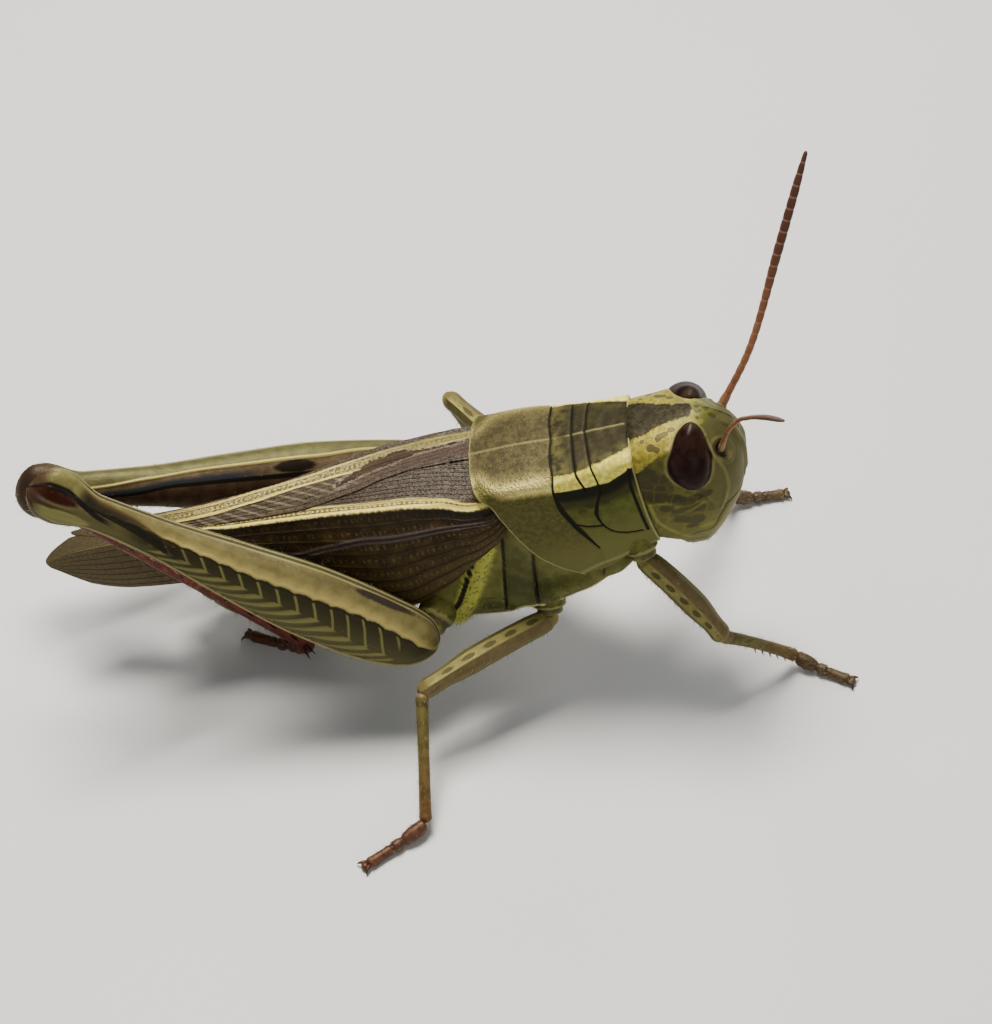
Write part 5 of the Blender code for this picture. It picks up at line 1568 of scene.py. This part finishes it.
def femurHeight(marks):
    # millimetres outwards: keels, herringbone ridges and the knee's crescent groove
    topKeel = bell(marks["turn"], 0, 4) - 0.6 * bell(marks["turn"], 11, 5)
    innerRidge = bell(marks["innerLine"], 0, 0.12)
    height = (0.06 * topKeel + 0.045 * bell(marks["scallop"], 0.12, 0.12)
              + 0.1 * bell(marks["keel"], 0, 0.1) + 0.035 * marks["chevron"] + 0.05 * innerRidge
              - 0.03 * marks["field"] * (1 - marks["chevron"]))
    knee = ease(marks["t"], 0.84, 0.88)
    return (height * (1 - 0.5 * knee) - 0.1 * bell(marks["crescent"], 0, 0.16) * knee
            - 0.07 * ease(marks["maroon"], -0.1, 0.4) + 0.05 * ease(marks["lobe"], 0, 0.5))


def hindTibiaPaint():
    p = Paint("tibiaCrimson")
    fine, coarse, streak = p.noise(0.07), p.noise(0.5), p.noise(0.25, 2.0)
    t, up, tip = p.marks("t", "up", "tip")
    red = p.layers(
        p.mix(coarse.ease(0.35, 0.7), (0.055, 0.005, 0.006), (0.11, 0.012, 0.012)),
        (up.ease(0.2, 0.95) * 0.5, (0.2, 0.03, 0.018)),
        (streak.ease(0.6, 0.75) * 0.5, (0.05, 0.004, 0.004)), (t.ease(0.08, 0.03), (0.012, 0.004, 0.006)),
        (t.ease(0.93, 0.99) * 0.6, (0.05, 0.008, 0.005)))
    colour = p.mix(tip.ease(0.25, 0.55), red, (0.006, 0.004, 0.004))
    return p.finish(colour, 0.36 + 0.15 * fine, fine + coarse, relief=0.012, metallic=0.15,
                    specular=0.35)


thornSizes = {
    "shares": (0.3, 0.9), "inRow": 8, "length": 0.75, "spurShare": 0.955, "spurLength": 0.95,
    "spurs": (1.3, 3.6), "radius": 0.1, "spread": 0.75, "lift": 0.2, "bow": 0.05, "lean": 0.75,
}


def makeHindLeg(leg, hand):
    z = legSizes
    root, hip, knee, ankle, toe = np.array(legJoints[leg], dtype=float)
    along = unit(knee - hip)
    onward, out = z["hindRoot"]
    # the hip's collars run on into the femur's inner side
    further, aside = z["hindHip"]
    makeCoxa(leg, root, hip + further * along + (0, aside * hand * out, 0), z["hindCoxaSize"])
    upward = np.array((0.0, hand * z["hindLean"][leg], 1.0))
    femur = limb(hip + onward * along + (0, hand * out, 0), knee + z["hindReach"] * along,
                 z["hindAbove"], z["hindWidth"], up=upward, belly=z["hindBelow"],
                 ends=(0.05, 0.05), rows=330, sides=170)
    marks = femurMarks(femur, hand)
    grid = pushed(femur["grid"], femurHeight(marks), True, femur["centre"])
    hairBed("Hind", (grid, femur["centre"]), along, 0.02 + bell(abs(marks["turn"]), 150, 20)
            + 0.25 * bell(marks["turn"], 0, 8), 520, 0.22)
    legPiece("femur", leg, skinOf(grid, marks), femurPaint(hand))
    start = knee - z["hindTibiaDrop"] * unit(np.cross(np.cross(along, upward), along))
    tibia = limb(start, ankle, z["hindTibiaDepth"], z["hindTibiaWidth"], up=-along,
                 ends=(0.03, 0.03), rows=160, sides=40)
    hairBed("Hind", (tibia["grid"], tibia["centre"]), tibia["along"], 0.5 + 0 * tibia["t"], 420,
            0.4)
    # two rows of black-tipped thorns along its rear edge, and two pairs of spurs at the ankle
    n, down = thornSizes, tibia["along"]
    back, aside = tibia["top"], tibia["side"]
    rooted = [(share, side, n["length"]) for share in np.linspace(*n["shares"], n["inRow"])
              for side in (-1, 1)]
    rooted += [(n["spurShare"], side * far, n["spurLength"]) for side in (-1, 1)
               for far in n["spurs"]]
    thorns = []
    for share, spread, length in rooted:
        splay = unit(back + n["spread"] * spread * aside)
        base = start + share * (ankle - start) + n["lift"] * splay
        thorns.append(cone(base, base + length * unit(splay + n["lean"] * down), n["radius"],
                           n["bow"] * splay, rows=10, sides=10))
    part = withThorns(skinOf(tibia["grid"], limbMarks(tibia, tip=0)), thorns, {"t": 0.5, "up": 0})
    legPiece("tibia", leg, part, hindTibiaPaint())
    makeTarsus(leg, ankle, toe)


# walking legs, hips and feet

walkSizes = {
    # the middle of the row of dark spots, in degrees round the femur
    "spotTurn": {"fore_right": -72, "fore_left": -60, "mid_right": 12, "mid_left": -20},
    "rootward": {"fore": 0.75, "mid": 0.4}, "thorns": 6, "thornShares": (0.45, 0.95),
    "thornLength": 0.3, "thornRadius": 0.05, "splay": 0.7,
}


def walkingFemurPaint():
    p = Paint("legOlive")
    fine, coarse, speck = p.noise(0.07), p.noise(0.5), p.noise(0.18, 2.0)
    t, spot = p.marks("t", "spotTurn")
    way = p.calc("ABSOLUTE", spot)
    face = p.mix(spot.ease(-30.0, 30.0), (0.12, 0.11, 0.03), (0.14, 0.1, 0.042))
    face = p.vary(coarse, face, p.mix(0.5, face, (0.07, 0.05, 0.016)))
    face = p.mix(spot.ease(60.0, 110.0), face, (0.13, 0.12, 0.03))
    # a row of dark oblong spots rimmed with yellow between two pale keels
    beat = (t * 42.0 + 2.2 * (speck - 0.5)).wave()
    blot = (beat * 6.0 - way + 9.0).ease(0.0, 3.0) * beat.ease(-0.5, 0.1)
    blot = blot * t.ease(0.08, 0.14) * t.ease(0.93, 0.86)
    strip = p.mix(coarse.ease(0.3, 0.7), (0.15, 0.13, 0.035), (0.23, 0.2, 0.06))
    strip = p.mix(blot, strip, (0.06, 0.048, 0.017))
    colour = p.layers(
        p.mix(way.ease(27.0, 20.0) * t.ease(0.97, 0.9), face, strip),
        (t.ease(0.1, 0.03), (0.2, 0.17, 0.05)), (t.ease(0.93, 0.97) * 0.7, (0.22, 0.17, 0.05)),
        (t.ease(0.985, 0.995) * 0.8, (0.05, 0.02, 0.012)))
    return p.finish(colour, 0.45 + 0.12 * fine, fine + coarse, relief=0.015, metallic=0.2)


def walkingTibiaPaint():
    p = Paint("legOlive")
    fine, coarse = p.noises(0.07, 0.45)
    t, up, tip = p.marks("t", "up", "tip")
    olive = p.vary(coarse, (0.085, 0.07, 0.02), (0.13, 0.105, 0.03))
    rust = p.vary(coarse, (0.09, 0.05, 0.016), (0.14, 0.08, 0.026))
    colour = p.layers(
        p.mix((t + 0.15 * up).ease(0.35, 0.95), olive, rust), (t.ease(0.06, 0.02), (0.2, 0.13, 0.08)),
        (t.near(0.1, 0.03) * 0.6, (0.04, 0.025, 0.012)),
        (t.ease(0.93, 0.98) * 0.6, (0.1, 0.03, 0.015)), (tip.ease(0.3, 0.8), (0.07, 0.02, 0.01)))
    return p.finish(colour, 0.42 + 0.12 * fine, fine + coarse, relief=0.014, metallic=0.2)


def tarsusPaint(leg):
    p = Paint("tarsusRust")
    fine, coarse = p.noises(0.06, 0.3)
    t, up, tip = p.marks("t", "up", "tip")
    rust = p.vary(coarse, (0.055, 0.016, 0.01), (0.105, 0.034, 0.018))
    if leg.startswith("fore"):
        # browner feet in front
        rust = p.vary(coarse, (0.045, 0.026, 0.014), (0.085, 0.05, 0.025))
    rust = p.mix(up.ease(-0.2, -0.8) * 0.6, rust, (0.2, 0.11, 0.07))
    seams = [(t.near(place, 0.035) * 0.7, (0.03, 0.01, 0.008)) for place in (0.4, 0.58)]
    colour = p.layers(rust, *seams, (tip.ease(0.35, 0.7), (0.012, 0.006, 0.004)))
    return p.finish(colour, 0.36 + 0.15 * fine, fine + coarse, relief=0.015, metallic=0.1,
                    specular=0.4)


def coxaPaint():
    p = Paint("coxaOlive")
    fine, coarse = p.noises(0.08, 0.4)
    t = p.mark("t") + 0.09 * (coarse - 0.5)
    olive = p.vary(coarse, (0.08, 0.08, 0.015), (0.14, 0.135, 0.025))
    colour = p.layers(
        olive, (t.ease(0.7, 0.72) * t.ease(0.77, 0.75) * 0.6, (0.3, 0.26, 0.1)),
        (t.ease(0.76, 0.78) * t.ease(0.84, 0.82) * 0.6, (0.07, 0.05, 0.04)),
        (t.ease(0.84, 0.87) * t.ease(0.94, 0.91) * 0.5, (0.25, 0.21, 0.1)))
    return p.finish(colour, 0.42 + 0.15 * fine, fine + coarse, relief=0.02, metallic=0.2)


def makeCoxa(leg, root, hip, size):
    # its root is buried in the breast; collars stand at the hip
    half = [(share, size * part) for share, part in legSizes["coxa"]]
    deep = root - 0.55 * (hip - root) + (0, 0, 0.5)
    coxa = limb(deep, hip, half, half, up=(1, 0, 0.2), ends=(0.35, 0.3), rows=90, sides=64)
    t = coxa["t"]
    collars = ((0.73, 0.05), (0.8, -0.06), (0.87, 0.05), (0.93, -0.05))
    height = sum(rise * bell(t, at, 0.03) for at, rise in collars)
    grid = pushed(coxa["grid"], height, True, coxa["centre"])
    legPiece("coxa", leg, skinOf(grid, limbMarks(coxa)), coxaPaint())


clawSizes = {"back": 0.12, "apart": 0.12, "spread": 0.42, "ahead": 0.42, "drop": 0.12,
             "radius": 0.11, "bow": 0.1, "arch": 0.14, "padBack": 0.1, "padAhead": 0.3}


def makeTarsus(leg, ankle, toe):
    z, n = legSizes["tarsus"], clawSizes
    # its bow brings the sole down level with the toe
    foot = limb(ankle, toe, z, z, bow=-(ankle[2] - toe[2]) / 4, ends=(0.05, 0.1), rows=120,
                sides=36)
    t, up = foot["t"], foot["up"]
    pads = sum(bell(t, *pad) for pad in ((0.1, 0.05), (0.22, 0.05), (0.34, 0.04), (0.5, 0.05)))
    seams = bell(t, 0.4, 0.03) + bell(t, 0.58, 0.03)
    height = 0.07 * (ease(up, -0.1, -0.8) * pads - seams)
    grid = pushed(foot["grid"], height, True, foot["centre"])
    hairBed("Hind" if leg.startswith("hind") else "Walking", (grid, foot["centre"]),
            foot["along"], ease(up, -0.8, -0.2) * ease(t, 1, 0.9), 90, 0.2)
    # two claws and the round pad between them
    ahead, aside = foot["along"], foot["side"]
    tip = toe - n["back"] * ahead
    claws = [cone(tip + n["apart"] * side * aside,
                  tip + n["spread"] * side * aside + n["ahead"] * ahead - (0, 0, n["drop"]),
                  n["radius"], n["bow"] * ahead + (0, 0, n["arch"]), rows=14, sides=12)
             for side in (-1, 1)]
    part = withThorns(skinOf(grid, limbMarks(foot, tip=0)), claws, {"t": 0.9, "up": 0})
    pad = limb(toe - n["padBack"] * ahead, toe + n["padAhead"] * ahead, ((0, 0.2), (1, 0.2)),
               ((0, 0.24), (1, 0.24)), ends=(0.5, 0.5), rows=26, sides=24)
    part = joined([part, skinOf(pad["grid"], {"t": 0.95, "up": pad["up"], "tip": 0})])
    part[0][:, 2] = np.maximum(part[0][:, 2], 0)
    legPiece("tarsus", leg, part, tarsusPaint(leg))


def makeWalkingLeg(leg):
    z, w = legSizes, walkSizes
    root, hip, knee, ankle, toe = np.array(legJoints[leg], dtype=float)
    hand = 1 if leg.endswith("left") else -1
    makeCoxa(leg, root, hip, z["coxaSize"])
    reach = unit(knee - hip)
    femur = limb(hip - w["rootward"][leg.split("_")[0]] * reach, knee + z["kneeOverlap"] * reach,
                 z["femurDepth"], z["femurWidth"], bow=z["femurBow"], rows=140, sides=72)
    spotTurn = turnOf(femur, hand) - w["spotTurn"][leg]
    spotTurn = (spotTurn + 180) % 360 - 180
    keels = bell(spotTurn, -24, 5) + bell(spotTurn, 24, 5) + bell(spotTurn, 110, 6)
    height = 0.05 * keels - 0.03 * bell(spotTurn, 0, 14)
    knobs = 0.05 * bell(femur["t"], 0.95, 0.04) - 0.05 * bell(femur["t"], 0.055, 0.02)
    grid = pushed(femur["grid"], height * roundEnds(femur["t"], 0.15, 0.15) + knobs, True,
                  femur["centre"])
    hairBed("Walking", (grid, femur["centre"]), reach, 0.12 + ease(femur["up"], 0.2, -0.7), 260,
            0.28)
    part = skinOf(grid, limbMarks(femur, spotTurn=spotTurn))
    legPiece("femur", leg, part, walkingFemurPaint())
    tibia = limb(knee, ankle, z["tibiaDepth"], z["tibiaWidth"], bow=z["tibiaBow"],
                 ends=(0.06, 0.05), rows=110, sides=36)
    hairBed("Walking", (tibia["grid"], tibia["centre"]), tibia["along"], 0.6 + 0 * tibia["t"],
            170, 0.28)
    thorns = []
    for share in np.linspace(*w["thornShares"], w["thorns"]):
        for side in (-1, 1):
            splay = unit(w["splay"] * side * tibia["side"] - tibia["top"])
            base = knee + share * (ankle - knee) + thornSizes["lift"] * splay
            thorns.append(cone(base, base + w["thornLength"] * unit(splay + tibia["along"]),
                               w["thornRadius"]))
    part = withThorns(skinOf(tibia["grid"], limbMarks(tibia, tip=0)), thorns, {"t": 0.8, "up": 0})
    legPiece("tibia", leg, part, walkingTibiaPaint())
    makeTarsus(leg, ankle, toe)


for legName in ("fore_right", "fore_left", "mid_right", "mid_left"):
    makeWalkingLeg(legName)
makeHindLeg("hind_right", -1)
makeHindLeg("hind_left", 1)
makeHairs("Walking", (0.13, 0.105, 0.04), (0.5, 0.44, 0.24))
makeHairs("Hind", (0.1, 0.03, 0.02), (0.4, 0.24, 0.14))
makeHairs("Body", (0.14, 0.13, 0.05), (0.55, 0.5, 0.3))
print("legs and hairs done,", triangleCount, "triangles in all")


# floor, lights and camera

stageSizes = {
    "floor": 900.0, "target": 9.334, "distance": 160.0, "above": 50.0, "scale": 20.5,
    "frame": (992, 1024), "sensor": 36.0,
}


def makeStage():
    z = stageSizes
    half = z["floor"] * mm
    mesh = bpy.data.meshes.new("floor")
    corners = ((-half, -half, 0), (half, -half, 0), (half, half, 0), (-half, half, 0))
    mesh.from_pydata(corners, [], [(0, 1, 2, 3)])
    floor = bpy.data.objects.new("floor", mesh)
    bpy.context.scene.collection.objects.link(floor)
    p = Paint("paleFloor")
    tone = p.noise(40.0, 2.0)
    mesh.materials.append(p.finish(p.mix(tone, (0.70, 0.69, 0.67), (0.76, 0.75, 0.73)), 0.7))

    world = bpy.data.worlds.new("studio")
    bpy.context.scene.world = world
    world.use_nodes = True
    world.node_tree.nodes["Background"].inputs["Color"].default_value = (0.9, 0.94, 1.0, 1)
    world.node_tree.nodes["Background"].inputs["Strength"].default_value = 0.2

    lights = {
        "key": ((-30, 60, 200), 80.0, 0.88, (1.0, 0.97, 0.92)),
        "fill": ((120, -190, 110), 160.0, 0.15, (0.92, 0.96, 1.0)),
        "rim": ((60, 200, 120), 120.0, 0.16, (1.0, 1.0, 1.0)),
    }
    aim = shift + (0, 0, z["target"])
    for name, (place, size, power, colour) in lights.items():
        data = bpy.data.lights.new(name, "AREA")
        data.size, data.energy, data.color = size * mm, power, colour
        lamp = bpy.data.objects.new(name, data)
        bpy.context.scene.collection.objects.link(lamp)
        place = (np.array(place) + aim) * mm
        lamp.location = place
        look = Vector(tuple(aim * mm - place))
        lamp.rotation_euler = look.to_track_quat("-Z", "Y").to_euler()

    camera = bpy.data.cameras.new("camera")
    camera.sensor_width = z["sensor"]
    camera.lens = z["scale"] * z["distance"] / max(z["frame"]) * z["sensor"]
    camera.clip_start, camera.clip_end = 0.01, 10.0
    eye = bpy.data.objects.new("camera", camera)
    bpy.context.scene.collection.objects.link(eye)
    angle = np.radians(z["above"])
    back = np.array((0, -np.cos(angle), np.sin(angle)))
    eye.location = (aim + z["distance"] * back) * mm
    eye.rotation_euler = (np.pi / 2 - angle, 0, 0)
    bpy.context.scene.camera = eye


makeStage()
print("stage done")
